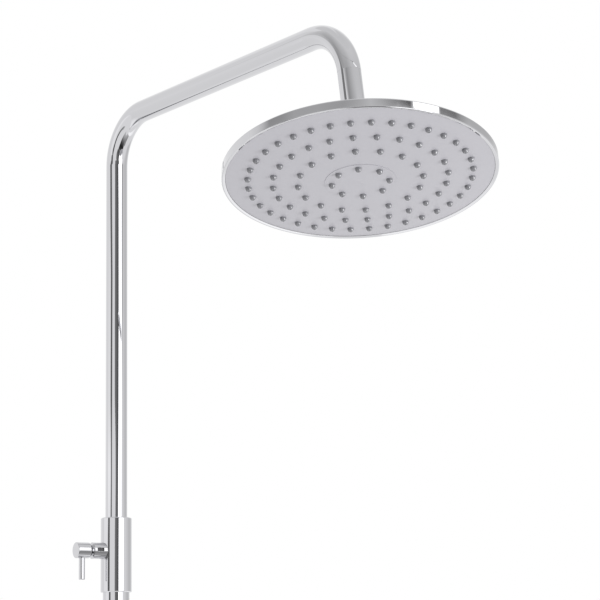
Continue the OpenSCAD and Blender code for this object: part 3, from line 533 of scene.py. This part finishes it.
# Ripples in the plating on metal and on plastic, and the edge that sharp corners are shaded with
METAL_RIPPLE = 0.02 * MM
PLASTIC_RIPPLE = 0.04 * MM
SOFT_EDGE = 0.3 * MM


def plating(finish, colour, clear, ripple, edge):
    """Ends a material as bright plating: a mirror with a faint haze that comes and goes, and a
    ripple."""
    return finish.surface(
        base_color=colour, metallic=1.0,
        roughness=finish.noise(35.0, detail=4.0) * HAZE + clear,
        normal=finish.bump(finish.noise(18.0, detail=1.0), ripple, strength=0.25, edge=edge))


def chrome_finish(name, ripple, edge=0.0):
    """Chrome plating that is the same all over."""
    return plating(Finish(name), tuple(settings().finishes.chrome), CLEAR, ripple, edge)


def darkened_slot_finish():
    """Chrome plating whose colour is painted darker, and which is rougher, in the bonnet's spanner
    slots. A spot is in a slot where its distance from the knob's axis is less than the slot floor's
    edge, short of the chamfer."""
    finish = Finish("chrome_darkened_in_slots")
    spot = finish.vector("SUBTRACT", finish.place(), tuple(KNOB_CENTRE))
    out = finish.vector("DOT_PRODUCT", spot, tuple(KNOB_OUT))
    away = finish.vector("LENGTH", finish.vector("CROSS_PRODUCT", spot, tuple(KNOB_OUT)))
    slot = (away < SLOT_EDGE) * (out < SLOT_END)
    chrome = tuple(settings().finishes.chrome)
    # The slots' chrome is painted darker, at SLOT_TONE of the chrome's own tone
    dull = tuple(c * SLOT_TONE for c in chrome)
    colour = finish.mixed(slot, chrome, dull)
    return plating(finish, colour, slot * SLOT_ROUGH + CLEAR, METAL_RIPPLE, SOFT_EDGE)


def satin_finish(name, colour, roughness, grain):
    """Moulded satin plastic: fine grain in the bump, and a slight drift in tone and gloss."""
    finish = Finish(name)
    return finish.surface(
        base_color=finish.tinted(colour, amount=0.02, scale=9.0),
        roughness=finish.noise(60.0) * 0.10 + roughness,
        normal=finish.bump(finish.noise(2600.0, detail=3.0), grain, strength=0.35))


def nozzle_finish():
    """Soft silicone with a damp sheen."""
    finish = Finish("nozzle_silicone")
    return finish.surface(
        base_color=finish.tinted(settings().finishes.nozzle, amount=0.06, scale=300.0),
        roughness=finish.noise(400.0) * 0.1 + 0.18, ior=1.8,
        normal=finish.bump(finish.noise(3000.0), 0.02 * MM, strength=0.3))


def brass_finish():
    """Turned brass: fine rings across the metal and a slight tarnish."""
    finish = Finish("turned_brass")
    rings = finish.noise(900.0, roughness=0.6, stretch=(0.05, 0.05, 1))
    return finish.surface(
        base_color=finish.tinted(settings().finishes.brass, amount=0.12, scale=120.0),
        metallic=1.0, roughness=rings * 0.18 + 0.2,
        normal=finish.bump(rings, 0.01 * MM, strength=0.4))


def steel_finish():
    """Plain stainless steel, drawn and slightly dull."""
    finish = Finish("plain_steel")
    grain = finish.noise(700.0, detail=3.0, roughness=0.6, stretch=(1, 1, 0.06))
    return finish.surface(
        base_color=finish.tinted(settings().finishes.steel, amount=0.05, scale=90.0),
        metallic=1.0, roughness=grain * 0.2 + 0.22,
        normal=finish.bump(grain, 0.01 * MM, strength=0.3))


def rubber_finish():
    """Black rubber with a fine tooth."""
    finish = Finish("black_rubber")
    tooth = finish.noise(1800.0, detail=3.0)
    return finish.surface(
        base_color=finish.tinted(settings().finishes.rubber, amount=0.3, scale=200.0),
        roughness=tooth * 0.2 + 0.45, normal=finish.bump(tooth, 0.02 * MM, strength=0.4))


def finish_of(key):
    """The material of a slot or of the cards, made the first time that it is asked for."""
    makers = {
        "chrome_metal": lambda: chrome_finish("chrome_on_metal", METAL_RIPPLE),
        "chrome_edged": lambda: chrome_finish("chrome_with_soft_edges", METAL_RIPPLE, SOFT_EDGE),
        "chrome_slotted": darkened_slot_finish,
        "chrome_abs": lambda: chrome_finish("chrome_on_plastic", PLASTIC_RIPPLE),
        "face_grey": lambda: satin_finish("satin_face", settings().finishes.face, 0.3, 0.01 * MM),
        "white_plastic": lambda: satin_finish(
            "moulded_plastic", settings().finishes.plastic, 0.38, 0.02 * MM),
        "nozzle_silicone": nozzle_finish,
        "brass": brass_finish,
        "steel": steel_finish,
        "black_rubber": rubber_finish,
        "card": card_finish,
    }
    if key not in FINISHED:
        FINISHED[key] = makers[key]()
    return FINISHED[key]


# Pieces

# Nodes whose sharp edges are shaded as if rounded
SHARP_NODES = ("diverter_body", "diverter_bonnet", "inlet_body", "bracket_arm", "ball_stem")

# Rounding of the lip's inner edge, and of the housing's small corners
LIP_ROUND = 0.15 * MM
HOUSING_ROUND = 0.6 * MM

# How far in from the rim the face plate ends, and how far its edge lies above the lip's
FACE_EDGE = 3.5 * MM
FACE_GAP = 0.3 * MM

# The rings of nozzles from the inner one out: how many, and the radius as a share of the last's
NOZZLE_RINGS = [(8, 0.2555), (16, 0.556), (24, 0.7785), (36, 1.0)]

# How much wider a nozzle's mouth is than its jet, and the power that makes its dome full
MOUTH = 0.3 * MM
DOME_POWER = 0.8

# The step inside a nozzle's mouth: how far out from the jet it lies, and how far in
STEP_OUT = 0.08 * MM
STEP_IN = 0.06 * MM

# The height of the foot of the collar's hollow, and how much wider than the hollow its mouth is
CUP_FOOT = -0.7 * MM
CUP_EASE = 0.2 * MM

# The collection of what the nozzles' own lamp lights
LIT_NOZZLES = "lit_nozzles"


def stand_in(name, shape, origin, axes, node):
    """A piece that stands for one CAD node, at a place and turned along axes given in the frame."""
    points, faces = shape
    slot = SLOT_OF[node]
    points = placed(points, origin, axes)
    return make_piece(name, points, faces, finish_of(slot), BODY_OF[node], (node,))


class SHOWER_OT_finish_nodes(bpy.types.Operator):
    """Give every CAD node the material of its slot"""

    bl_idname = "shower.finish_nodes"
    bl_label = "Finish the Nodes"

    def execute(self, context):
        for node, piece in frame["nodes"].items():
            key = "chrome_edged" if node in SHARP_NODES else SLOT_OF[node]
            if node == "diverter_bonnet":
                key = "chrome_slotted"
            piece.data.materials.clear()
            piece.data.materials.append(finish_of(key))
        return {"FINISHED"}


class SHOWER_OT_head_shell(bpy.types.Operator):
    """Make the head's housing, with its rounded rim and the lip round the face"""

    bl_idname = "shower.head_shell"
    bl_label = "Head Shell"

    def execute(self, context):
        size = settings().head
        rim = size.diameter / 2
        low = size.rim_top - size.rim_height
        lip = rim - size.lip
        corner = HOUSING_ROUND
        outline = [
            (size.hub_bore, size.hub_top), (size.hub, size.hub_top), (size.hub, size.hub_foot),
            (size.shoulder, size.hub_foot), (rim, size.rim_top), (rim, low),
            (lip, low + size.lip_rise), (lip, size.rim_top - size.wall),
            (size.shoulder, size.hub_foot - size.wall), (size.hub_bore, size.hub_foot - size.wall)]
        rounding = [
            corner, corner, corner, 2 * corner, size.crown_round, size.rim_round,
            LIP_ROUND, corner, corner, corner]
        shape = lathe(softened(outline, rounding, closed=True, steps=8), segments=288)
        stand_in("head_shell", shape, BALL_CENTRE, HEAD_AXES, "head_housing")
        return {"FINISHED"}


def face_height(radius, above=0.0):
    """Height of the domed face at a radius, above the ball's centre. The face's lower surface is a
    sphere of radius R = ring^2 / (2 bulge), and a surface that lies above it has R - above, so the
    height is c - sqrt((R - above)^2 - radius^2), where c puts the face's edge level with the lip."""
    size = settings().head
    sphere = size.outer_ring**2 / (2 * size.bulge)
    edge = size.diameter / 2 - FACE_EDGE
    edge_height = size.rim_top - size.rim_height + size.lip_rise + FACE_GAP
    centre = edge_height - edge**2 / (2 * sphere) + sphere
    return centre - np.sqrt((sphere - above) ** 2 - np.asarray(radius, float) ** 2)


def nozzle_origins():
    """Where each nozzle leaves the face, in the head's own frame. Nozzle k of a ring of n stands at
    the ring's radius, at the angle ring_turn + 2 pi k / n. The nozzles of the inner ring stand on
    the raised disc."""
    size = settings().head
    origins = []
    for count, share in NOZZLE_RINGS:
        radius = size.outer_ring * share
        angle = size.ring_turn + 2 * math.pi * np.arange(count) / count
        drop = size.disc_height if share == NOZZLE_RINGS[0][1] else 0.0
        height = np.full(count, face_height(radius) - drop)
        origins.append(np.stack([radius * np.cos(angle), radius * np.sin(angle), height], 1))
    return np.concatenate(origins)


class SHOWER_OT_nozzles(bpy.types.Operator):
    """Make the soft mat with its domed nozzles, each with a jet hole"""

    # A dome's outline, for t from 0 to a quarter turn: its distance from the nozzle's axis is
    # mouth + (radius - mouth) * (cos t)^DOME_POWER, and it lies height * sin t below the face

    bl_idname = "shower.nozzles"
    bl_label = "Nozzles"

    def execute(self, context):
        size = settings().nozzles
        face = settings().head.face_thickness
        t = np.linspace(0, math.pi / 2, 9)[:-1]
        mouth = size.jet + MOUTH
        dome = np.stack([
            mouth + (size.radius - mouth) * np.cos(t) ** DOME_POWER, -size.height * np.sin(t)], 1)
        profile = np.concatenate([
            [(size.jet, face + size.mat / 2), (size.radius, face + size.mat / 2)], dome,
            [(mouth, -size.height), (size.jet + STEP_OUT, -size.height + STEP_IN),
             (size.jet, -size.height + MOUTH)]])
        nozzles = copies(*lathe(profile, segments=24), nozzle_origins())
        out = np.linspace(0, size.mat_radius, 24)
        low = np.stack([out, face_height(out, face + FIT)], 1)
        high = np.stack([out, face_height(out, face + size.mat)], 1)
        sheet = lathe(np.concatenate([low, high[::-1]]), segments=160, closed=False)
        piece = stand_in("soft_nozzles", joined(nozzles, sheet), BALL_CENTRE, HEAD_AXES, "nozzle_mat")
        bpy.data.collections[LIT_NOZZLES].objects.link(piece)
        return {"FINISHED"}


class SHOWER_OT_collar(bpy.types.Operator):
    """Make the ball joint's collar, with its rounded shoulder and its hollow for the ball"""

    # The hollow is a sphere round the ball's centre, of radius sqrt(cup^2 - z^2) at a height z

    bl_idname = "shower.collar"
    bl_label = "Collar"

    def execute(self, context):
        size = settings().fittings
        hub = settings().head.hub + FIT
        outline = softened([
            (hub, CUP_FOOT), (hub, size.collar_foot), (size.collar, size.collar_foot),
            (size.collar, size.collar_top), (cup_mouth(size), size.collar_top)],
            [0, 0.4 * MM, 0.7 * MM, size.collar_round, 0], steps=8)
        height = np.linspace(size.collar_top, CUP_FOOT, 16)[1:]
        cup = np.stack([np.sqrt(size.cup**2 - height**2), height], 1)
        shape = lathe(np.concatenate([outline, cup]), segments=160)
        stand_in("ball_collar", shape, BALL_CENTRE, HEAD_AXES, "swivel_collar")
        return {"FINISHED"}


def cup_mouth(size):
    """Radius of the hollow's mouth, sqrt(cup^2 - collar_top^2) and a little more: the hollow is a
    sphere that the collar's top cuts."""
    return math.sqrt(size.cup**2 - size.collar_top**2) + CUP_EASE


class SHOWER_OT_knob(bpy.types.Operator):
    """Make the diverter's knob, turned with a cone at its neck and soft edges"""

    bl_idname = "shower.knob"
    bl_label = "Knob"

    def execute(self, context):
        size = settings().diverter
        end = size.knob_from + size.knob_length
        profile = [
            (0, size.bore_end), (size.bore, size.bore_end), (size.bore, size.knob_from),
            (size.neck, size.knob_from), (size.knob, size.knob_from + size.neck_length),
            (size.knob, end), (0, end)]
        rounding = np.array([0, 0.1, 0.3, 0.5, 0.5, 0.9, 0]) * MM
        shape = lathe(softened(profile, rounding, steps=6), segments=128, closed=False)
        stand_in("turned_knob", shape, KNOB_CENTRE, KNOB_AXES, "diverter_knob")
        return {"FINISHED"}


class SHOWER_OT_lever(bpy.types.Operator):
    """Make the lever pin, which hangs from the knob and has a rounded tip"""

    bl_idname = "shower.lever"
    bl_label = "Lever Pin"

    def execute(self, context):
        size = settings().diverter
        profile = [
            (0, size.pin_from), (size.pin, size.pin_from), (size.pin, size.pin_to),
            (0, size.pin_to)]
        rounding = np.array([0, 0.2, 0.7, 0]) * MM
        shape = lathe(softened(profile, rounding, steps=6), segments=96, closed=False)
        origin = KNOB_CENTRE + KNOB_OUT * size.pin_at
        stand_in("turned_pin", shape, origin, PIN_AXES, "lever_pin")
        return {"FINISHED"}


class SHOWER_OT_covers(bpy.types.Operator):
    """Make the two wall covers, pressed from sheet with a rolled edge"""

    bl_idname = "shower.covers"
    bl_label = "Wall Covers"

    def execute(self, context):
        size = settings().fittings
        low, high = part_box("bracket_cover")
        for name, node, hole, height in (
                ("inlet_dish", "inlet_cover", size.inlet, 0.0),
                ("bracket_dish", "bracket_cover", size.post, (low.z + high.z) / 2)):
            inner = hole + FIT
            outline = [
                (size.cover - size.cover_wall, size.cover_from), (size.cover, size.cover_from),
                (size.cover, size.cover_to), (inner, size.cover_to),
                (inner, size.cover_to - size.cover_wall),
                (size.cover - size.cover_wall, size.cover_to - size.cover_wall)]
            rounding = [0.2 * MM, 0.4 * MM, size.cover_round, 0.3 * MM, 0.2 * MM, size.cover_wall]
            shape = lathe(softened(outline, rounding, closed=True, steps=8), segments=192)
            stand_in(name, shape, (COLUMN[0], 0, height), WALL_AXES, node)
        return {"FINISHED"}


# The chamfer before a thread, the rows of points along it, and the turns in which it fades out
THREAD_CHAMFER = 0.8 * MM
THREAD_ROWS = 84
THREAD_FADE = 0.7

# The rounding of a threaded piece's other corners
THREADED_ROUND = 0.35 * MM

# The rest of each threaded piece's outline, in millimetres, from the thread's top round to its foot
OUTLET_REST = [
    (10.4, -6), (13.5, -6), (13.5, 0), (10, 0), (10, 3.2), (8.95, 3.2), (8.95, 4.8), (10, 4.8),
    (10, 14), (6.05, 14), (6.05, 6), (4.5, 6), (4.5, -7), (7.45, -7), (7.45, -18), (9.3, -18)]
NIPPLE_REST = [
    (10.4, 0), (14, 0), (14, 7), (11.95, 7), (11.95, 9.5), (10.95, 9.5), (10.95, 14.5),
    (11.95, 14.5), (11.95, 23.2), (10.9, 23.2), (10.9, 24.8), (11.95, 24.8), (11.95, 27.2),
    (10.9, 27.2), (10.9, 28.8), (11.95, 28.8), (11.95, 31), (7, 31), (7, -14), (9.3, -14)]


class SHOWER_OT_threaded_ends(bpy.types.Operator):
    """Make the hose outlet and the wall nipple, with real pipe threads"""

    bl_idname = "shower.threaded_ends"
    bl_label = "Threaded Ends"

    def execute(self, context):
        size = settings().fittings
        for name, node, rest, foot, top, origin, axes in (
                ("threaded_outlet", "hose_outlet", OUTLET_REST, -18, -6,
                 (COLUMN[0], COLUMN[1], INLET_FOOT), COLUMN_AXES),
                ("threaded_nipple", "wall_nipple", NIPPLE_REST, -14, 0, (COLUMN[0], 0, 0), WALL_AXES)):
            foot, top = foot * MM + THREAD_CHAMFER, top * MM
            around = softened(np.array(rest) * MM, THREADED_ROUND)
            thread = level_rows(size.thread, foot, top - FIT, THREAD_ROWS)
            groove = thread_groove(
                foot, top, size.thread, size.pitch, size.thread_depth, THREAD_FADE * size.pitch)
            shape = lathe(np.concatenate([thread, around]), segments=96, groove=groove)
            stand_in(name, shape, origin, axes, node)
        return {"FINISHED"}


# The studio

# Points across a card, and at least so many along it
CARD_ACROSS = 25
CARD_ALONG = 60

# The middle of the tent of cards, half way up the column, and the fade of a sharp edge in degrees
TENT_CENTRE = (0, 0, 0.5)
SHARP = 0.01


def card_grid(stations):
    """A card from stations along it. A station is its place along the card, the card's two edges
    there and the tones at those edges, or one tone for both. Between stations all of them change
    in a straight line. Returns grids of the place, of the way from edge to edge and of the tone,
    and the share of the way across."""
    whole = [(*station, station[-1])[:5] for station in stations]
    along, first, last, first_tone, last_tone = np.array(whole, float).T
    fine = np.unique(np.concatenate([along, np.linspace(along[0], along[-1], CARD_ALONG)]))
    share = np.linspace(0, 1, CARD_ACROSS)[None, :]
    ends = [np.interp(fine, along, edge)[:, None] for edge in (first, last, first_tone, last_tone)]
    across = ends[0] + (ends[1] - ends[0]) * share
    tone = ends[2] + (ends[3] - ends[2]) * share
    place = np.broadcast_to(fine[:, None], across.shape)
    return place, across, tone, share


def tent_card(name, distance, stations, upright, soft, centre=TENT_CENTRE):
    """A card of the tent round the column, as a patch of a sphere of radius R, the distance. An
    upright card's stations are headings, and its edges elevations, and a level card's the other
    way round. A heading t is taken from the direction towards the camera, to the right, and with
    an elevation e it lies at centre + R (cos e (sin t * right + cos t * near) + sin e * up). The
    card fades out within soft degrees of its edges and its ends."""
    right, near = studio_axes()
    place, across, tone, share = card_grid(stations)
    turn, climb = (place, across) if upright else (across, place)
    width = np.abs(across[:, -1:] - across[:, :1])
    cover = np.clip(np.minimum(share, 1 - share) * width / max(soft, SHARP), 0, 1)
    ends = np.minimum(place - place[0, 0], place[-1, 0] - place) / max(soft, SHARP)
    cover = cover * np.clip(ends, 0, 1)
    heading, rise = np.radians(turn)[..., None], np.radians(climb)[..., None]
    level = np.sin(heading) * right + np.cos(heading) * near
    points = np.cos(rise) * level + np.sin(rise) * np.array([0, 0, 1.0])
    points = points * distance + np.array(centre)
    mesh = bpy.data.meshes.new(name)
    faces = grid_faces(*turn.shape, False, False)
    mesh.from_pydata(points.reshape(-1, 3).tolist(), [], faces.tolist())
    for label, values in (("tone", tone), ("cover", cover)):
        made = mesh.attributes.new(label, "FLOAT", "POINT")
        made.data.foreach_set("value", np.ascontiguousarray(values, np.float32).ravel())
    mesh.materials.append(finish_of("card"))
    card = bpy.data.objects.new(name, mesh)
    bpy.context.scene.collection.objects.link(card)
    card.visible_camera = False
    card.visible_diffuse = False
    card.visible_shadow = False


def studio_axes():
    """The level directions to the camera's right and towards the camera."""
    turn = settings().studio.camera_turn
    right = np.array([math.cos(turn), math.sin(turn), 0])
    return right, np.array([math.sin(turn), -math.cos(turn), 0])


def card_finish():
    """Cards glow by their own tone, so that the chrome mirrors it as it is, and are clear where
    they don't cover."""
    finish = Finish("tent_card")
    tone = finish.node("ShaderNodeAttribute", {"attribute_name": "tone"}, output="Vector")
    cover = finish.node("ShaderNodeAttribute", {"attribute_name": "cover"}, output="Fac")
    glow = finish.node("ShaderNodeEmission", {}, {"Color": tone, "Strength": 1.0}, output="Emission")
    clear = finish.node("ShaderNodeBsdfTransparent", output="BSDF")
    finish.end(finish.node("ShaderNodeMixShader", {}, {0: cover, 1: clear, 2: glow}))
    finish.owner.cycles.emission_sampling = "NONE"
    return finish.owner


# The gap between layers of cards, and how much nearer the rim's cards are than the front layer
LAYER_GAP = 0.1
RIM_NEARER = 0.6

# The tone of the large soft box
SOFTBOX = 2.2

# What the chrome mirrors, from the front layer to the back one: whether the card's stations are
# headings, the fade of its edges in degrees, and the stations, as card_grid describes them
CARDS = {
    "front_flag": (False, 1.5, [
        (-20, -7, 25, 0.10, 0.05), (-8, -10, 24.5, 0.25, 0.09), (4.6, -6, 24, 0.26, 0.09),
        (6.5, -3, 25.5, 0.26, 0.09), (7.8, -5, 27.5, 0.26, 0.08), (9, -14, 28.5, 0.26, 0.08),
        (12, -15, 29, 0.26, 0.08), (15, -15, 27, 0.24, 0.09), (17, -16, 22, 0.24, 0.09),
        (23, -16, 22, 0.24, 0.09)]),
    "low_flag": (False, 3.0, [
        (-72, -40, 110, 0.75, 0.70), (-60, -20, 100, 0.50, 0.42), (-50, -12, 82, 0.20, 0.25),
        (-42, -8, 68, 0.06, 0.12), (-34, -4, 56, 0.02, 0.03), (-26, -4, 54, 0.05),
        (-21, -4, 52, 0.10, 0.35), (-17, -4, 70, 0.12, 0.60)]),
    "soft_box": (False, 1.0, [
        (-10, 22, 56, SOFTBOX), (-1, 22, 56, SOFTBOX), (3, 22, 61.5, SOFTBOX),
        (8.4, 25, 61, SOFTBOX), (12, 26, 61, SOFTBOX), (15, 24, 59, SOFTBOX), (17, 20, 60, SOFTBOX),
        (23, 20, 62, SOFTBOX), (25, 48, 63, SOFTBOX), (30.5, 54, 64, SOFTBOX)]),
    "left_line": (False, 1.5, [
        (-42, -70, -58, 0.6), (-29, -72, -59, 0.35), (-17, -68, -53, 0.16), (-4, -61, -44, 0.14),
        (4.6, -60, -43, 0.14), (6.5, -56, -41, 0.24), (7.6, -57, -41, 0.22), (9, -62, -41, 0.15),
        (13, -61, -40, 0.15), (15, -70, -46, 0.18), (17, -76, -50, 0.20),
        (19.5, -87, -62, 0.30, 0.26), (21, -87, -62, 0.28, 0.24), (23, -90, -60, 0.28, 0.26),
        (25.5, -98, -66, 0.40)]),
    "leg_shade": (True, 1.2, [
        (-46, 24.5, 29.5, 0.60, 0.62), (-32, 24.5, 29.2, 0.34, 0.44), (-16, 25.5, 30, 0.38, 0.50),
        (0, 27, 31.4, 0.46, 0.60), (13, 28.5, 32, 0.53, 0.66), (25, 29, 32.4, 0.58, 0.71),
        (42, 29, 32.4, 0.70, 0.76)]),
    "right_edge": (True, 3.0, [
        (55, 9, 21, 0.62, 0.36), (66, 9, 21, 0.60, 0.36), (78, 9, 21, 0.82, 0.64)]),
    "right_grey": (True, 6.0, [
        (74, -8, 27, 1.05, 0.72), (94, -12, 27, 0.98, 0.70), (108, -24, 26, 0.80, 0.70),
        (122, -20, 24, 0.66, 0.76), (138, -16, 22, 0.74, 0.80), (150, -16, 22, 0.80, 0.84)]),
    "upper_grey": (True, 2.0, [
        (-106, 19, 62, 0.90, 0.82), (-92, 21, 62, 0.48, 0.77), (-80, 23, 62, 0.40, 0.77),
        (-45, 24, 62, 0.50, 0.78), (-20, 26, 62, 0.50, 0.80), (3, 28, 62, 0.60, 0.84),
        (25, 29, 62, 0.72, 0.86), (50, 29, 62, 0.76, 0.86), (72, 28, 62, 0.77, 0.86),
        (100, 25, 62, 0.76, 0.84), (117, 23, 62, 0.76, 0.83), (131, 20, 62, 0.72, 0.82),
        (155, 18, 62, 0.92, 0.90)]),
    "high_grey": (False, 2.0, [
        (54, -180, 180, 0.83), (75, -180, 180, 0.81), (89.9, -180, 180, 0.80)]),
    "left_white": (False, 2.0, [
        (-38, -150, -96, 0.95, 0.92), (-2, -150, -96, 0.97, 0.95), (7, -150, -96, 1.06, 0.97),
        (13, -150, -96, 1.00, 0.96), (42, -150, -96, 0.92, 0.91)]),
    "body_white": (False, 1.5, [
        (-6, -98, -60, 1.10), (4.6, -98, -60, 1.12), (6.8, -98, -55, 1.24), (8.6, -98, -60, 1.08),
        (15, -98, -60, 1.02)]),
    "low_white": (False, 3.0, [
        (-84, -179, -98, 1.35, 1.20), (-60, -179, -98, 1.30, 1.15), (-42, -179, -98, 1.08)]),
}

# A bright band below and behind the head, which the lip's lower edge mirrors
LIP_WHITE_AT = 1.9
LIP_WHITE = [
    (-84, 118, 178, 1.35), (-78, 113, 152, 1.35), (-72, 112, 144, 1.35), (-65, 115, 146, 1.40),
    (-59, 120, 150, 1.40), (-51, 127, 156, 1.35), (-44, 134, 163, 1.30), (-37, 141, 169, 1.20),
    (-28, 149, 176, 1.15)]

# A shade close to the knob, which darkens the lower half of the knob and of the bonnet. It is
# centred on the knob's axis, between the two.
KNOB_MIDDLE = 37 * MM
KNOB_SHADE_AT = 0.8
KNOB_SHADE = [
    (-66, 52, 78, 0.66), (-56, 52, 79, 0.58), (-41, 50, 84, 0.42), (-28, 48, 78, 0.32),
    (-15, 48, 74, 0.36), (-8, 48, 72, 0.44)]

# The narrow band that the rim mirrors, as heading, elevation and tone, and half its width in
# degrees
RIM_BAND = 0.4
RIM_CARDS = {
    "rim_left": [
        (-110, 24.0, 0.95), (-99, 26.6, 0.86), (-93, 28.1, 0.72), (-86, 29.8, 0.38),
        (-74, 32.6, 0.40), (-62, 35.2, 0.52), (-40, 39.3, 0.52), (-15, 42.1, 0.45),
        (-4, 42.8, 0.52), (10, 42.9, 0.70), (20, 42.7, 0.56), (36, 41.6, 0.30),
        (44, 40.7, 0.18), (50.5, 39.8, 0.04)],
    "rim_soft_box": [(50.5, 39.8, SOFTBOX), (62, 37.9, SOFTBOX), (76, 35.1, SOFTBOX)],
    "rim_right": [
        (76, 35.1, 0.30), (84, 33.4, 0.27), (93, 31.3, 0.22), (99, 29.8, 0.44),
        (108, 27.7, 0.60), (122, 24.2, 0.60), (139, 20.5, 0.60), (156, 17.6, 0.70),
        (168, 16.1, 0.80)],
}


# Half the floor's width, and the spot near the head that the lamps are aimed at
FLOOR_HALF = 8.0
LAMP_TARGET = np.array([0, -0.35, 0.7])

# Each lamp: how far it is from that spot to the right, towards the camera and up, its width, its
# power in watts, and whether it lights the nozzles alone
LAMPS = [
    ("low_right_lamp", 1.9, 0.9, -0.9, 0.7, 14.0, False),
    ("high_right_lamp", 1.6, 1.6, 1.8, 1.4, 22.0, False),
    ("nozzle_lamp", 2.1, 0.8, -0.35, 1.3, 42.0, True),
]


class SHOWER_OT_studio(bpy.types.Operator):
    """Set up the camera, the white surroundings, the floor, the lamps and the mirrored cards"""

    bl_idname = "shower.studio"
    bl_label = "Studio"

    def execute(self, context):
        self.camera()
        self.world()
        self.floor()
        self.lamps()
        tent = settings().studio.tent
        for name, stations in RIM_CARDS.items():
            band = [(t, e - RIM_BAND, e + RIM_BAND, tone) for t, e, tone in stations]
            tent_card(name, tent - RIM_NEARER, band, upright=True, soft=0.0, centre=BALL_CENTRE)
        for layer, (name, (upright, soft, stations)) in enumerate(CARDS.items()):
            tent_card(name, tent + layer * LAYER_GAP, stations, upright, soft)
        knob = KNOB_CENTRE + KNOB_OUT * KNOB_MIDDLE
        tent_card("knob_shade", KNOB_SHADE_AT, KNOB_SHADE, upright=False, soft=3.0, centre=knob)
        tent_card("lip_white", LIP_WHITE_AT, LIP_WHITE, upright=False, soft=4.0, centre=BALL_CENTRE)
        context.scene.view_settings.view_transform = "Standard"
        return {"FINISHED"}

    def camera(self):
        """Stands the camera where the photograph was taken from. It looks along
        (-sin turn cos pitch, cos turn cos pitch, sin pitch), and the roll turns it about that."""
        studio = settings().studio
        turn, pitch, roll = studio.camera_turn, studio.camera_pitch, studio.camera_roll
        ahead = np.array([
            -math.sin(turn) * math.cos(pitch), math.cos(turn) * math.cos(pitch), math.sin(pitch)])
        level = np.array([math.cos(turn), math.sin(turn), 0.0])
        upright = np.cross(level, ahead)
        right = level * math.cos(roll) + upright * math.sin(roll)
        up = upright * math.cos(roll) - level * math.sin(roll)
        data = bpy.data.cameras.new("photo_camera")
        data.sensor_width = 36
        data.lens = studio.lens
        camera = bpy.data.objects.new("photo_camera", data)
        turned = Matrix(np.stack([right, up, -ahead], 1).tolist()).to_4x4()
        camera.matrix_world = Matrix.Translation(studio.camera_at) @ turned
        bpy.context.scene.collection.objects.link(camera)
        bpy.context.scene.camera = camera

    def world(self):
        """Makes white surroundings, which light matt surfaces a little less than they show."""
        world = Finish("white_surroundings", "world")
        seen = world.node("ShaderNodeLightPath", output="Is Camera Ray")
        glossy = world.node("ShaderNodeLightPath", output="Is Glossy Ray")
        clear = world.node("ShaderNodeLightPath", output="Is Transmission Ray")
        level = settings().studio.world_light
        strength = (seen | glossy | clear) * (1 - level) + level
        glow = world.node("ShaderNodeBackground", {}, {"Color": (1, 1, 1), "Strength": strength})
        world.end(glow, "ShaderNodeOutputWorld")
        bpy.context.scene.world = world.owner

    def floor(self):
        """Lays a plain pale floor, which the chrome doesn't mirror."""
        far = FLOOR_HALF
        height = settings().studio.floor
        mesh = bpy.data.meshes.new("floor")
        corners = [(-far, -far, height), (far, -far, height), (far, far, height), (-far, far, height)]
        mesh.from_pydata(corners, [], [(0, 1, 2, 3)])
        finish = Finish("pale_floor")
        mesh.materials.append(finish.surface(
            base_color=finish.tinted((0.88, 0.88, 0.88), amount=0.01, scale=2.0), roughness=0.8))
        floor = bpy.data.objects.new("floor", mesh)
        floor.visible_glossy = False
        bpy.context.scene.collection.objects.link(floor)

    def lamps(self):
        """Hangs the lamps, all aimed at one spot. The chrome mirrors none of them, because those
        that light it can't be seen in gloss, and the nozzles' own lamp lights nothing else."""
        right, near = studio_axes()
        for name, sideways, towards, up, size, power, for_nozzles in LAMPS:
            data = bpy.data.lights.new(name, "AREA")
            data.shape = "SQUARE"
            data.size = size
            data.energy = power
            lamp = bpy.data.objects.new(name, data)
            place = LAMP_TARGET + right * sideways + near * towards + np.array([0, 0, up])
            aim = axes_about(place - LAMP_TARGET, right)
            lamp.matrix_world = Matrix.Translation(place.tolist()) @ Matrix(aim.T.tolist()).to_4x4()
            lamp.visible_glossy = for_nozzles
            bpy.context.scene.collection.objects.link(lamp)
            if for_nozzles:
                lamp.light_linking.receiver_collection = bpy.data.collections.new(LIT_NOZZLES)


class SHOWER_PT_panel(bpy.types.Panel):
    """The shower column's pieces and their settings"""

    bl_idname = "SHOWER_PT_panel"
    bl_label = "Shower Column"
    bl_space_type = "VIEW_3D"
    bl_region_type = "UI"
    bl_category = "Shower"

    def draw(self, context):
        layout = self.layout
        for step in STEPS:
            layout.operator(step.bl_idname)
        for group in ("head", "nozzles", "diverter", "fittings", "finishes", "studio"):
            box = layout.box()
            values = getattr(context.scene.shower_column, group)
            for name in values.__annotations__:
                box.prop(values, name)


# The operators in the order in which they run: the studio makes what the nozzles' operator fills
STEPS = [
    SHOWER_OT_studio, SHOWER_OT_finish_nodes, SHOWER_OT_head_shell, SHOWER_OT_nozzles,
    SHOWER_OT_collar, SHOWER_OT_knob, SHOWER_OT_lever, SHOWER_OT_covers, SHOWER_OT_threaded_ends]
GROUPS = [
    HeadSizes, NozzleSizes, DiverterSizes, FittingSizes, Finishes, StudioSizes, ColumnSettings]


def register():
    """Adds the classes and the scene's settings."""
    for made in GROUPS + STEPS + [SHOWER_PT_panel]:
        bpy.utils.register_class(made)
    bpy.types.Scene.shower_column = PointerProperty(type=ColumnSettings)


def unregister():
    """Takes them away again."""
    del bpy.types.Scene.shower_column
    for made in reversed(GROUPS + STEPS + [SHOWER_PT_panel]):
        bpy.utils.unregister_class(made)


def main():
    """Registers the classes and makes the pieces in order."""
    register()
    for step in STEPS:
        group, name = step.bl_idname.split(".")
        getattr(getattr(bpy.ops, group), name)()


if __name__ == "__main__":
    main()
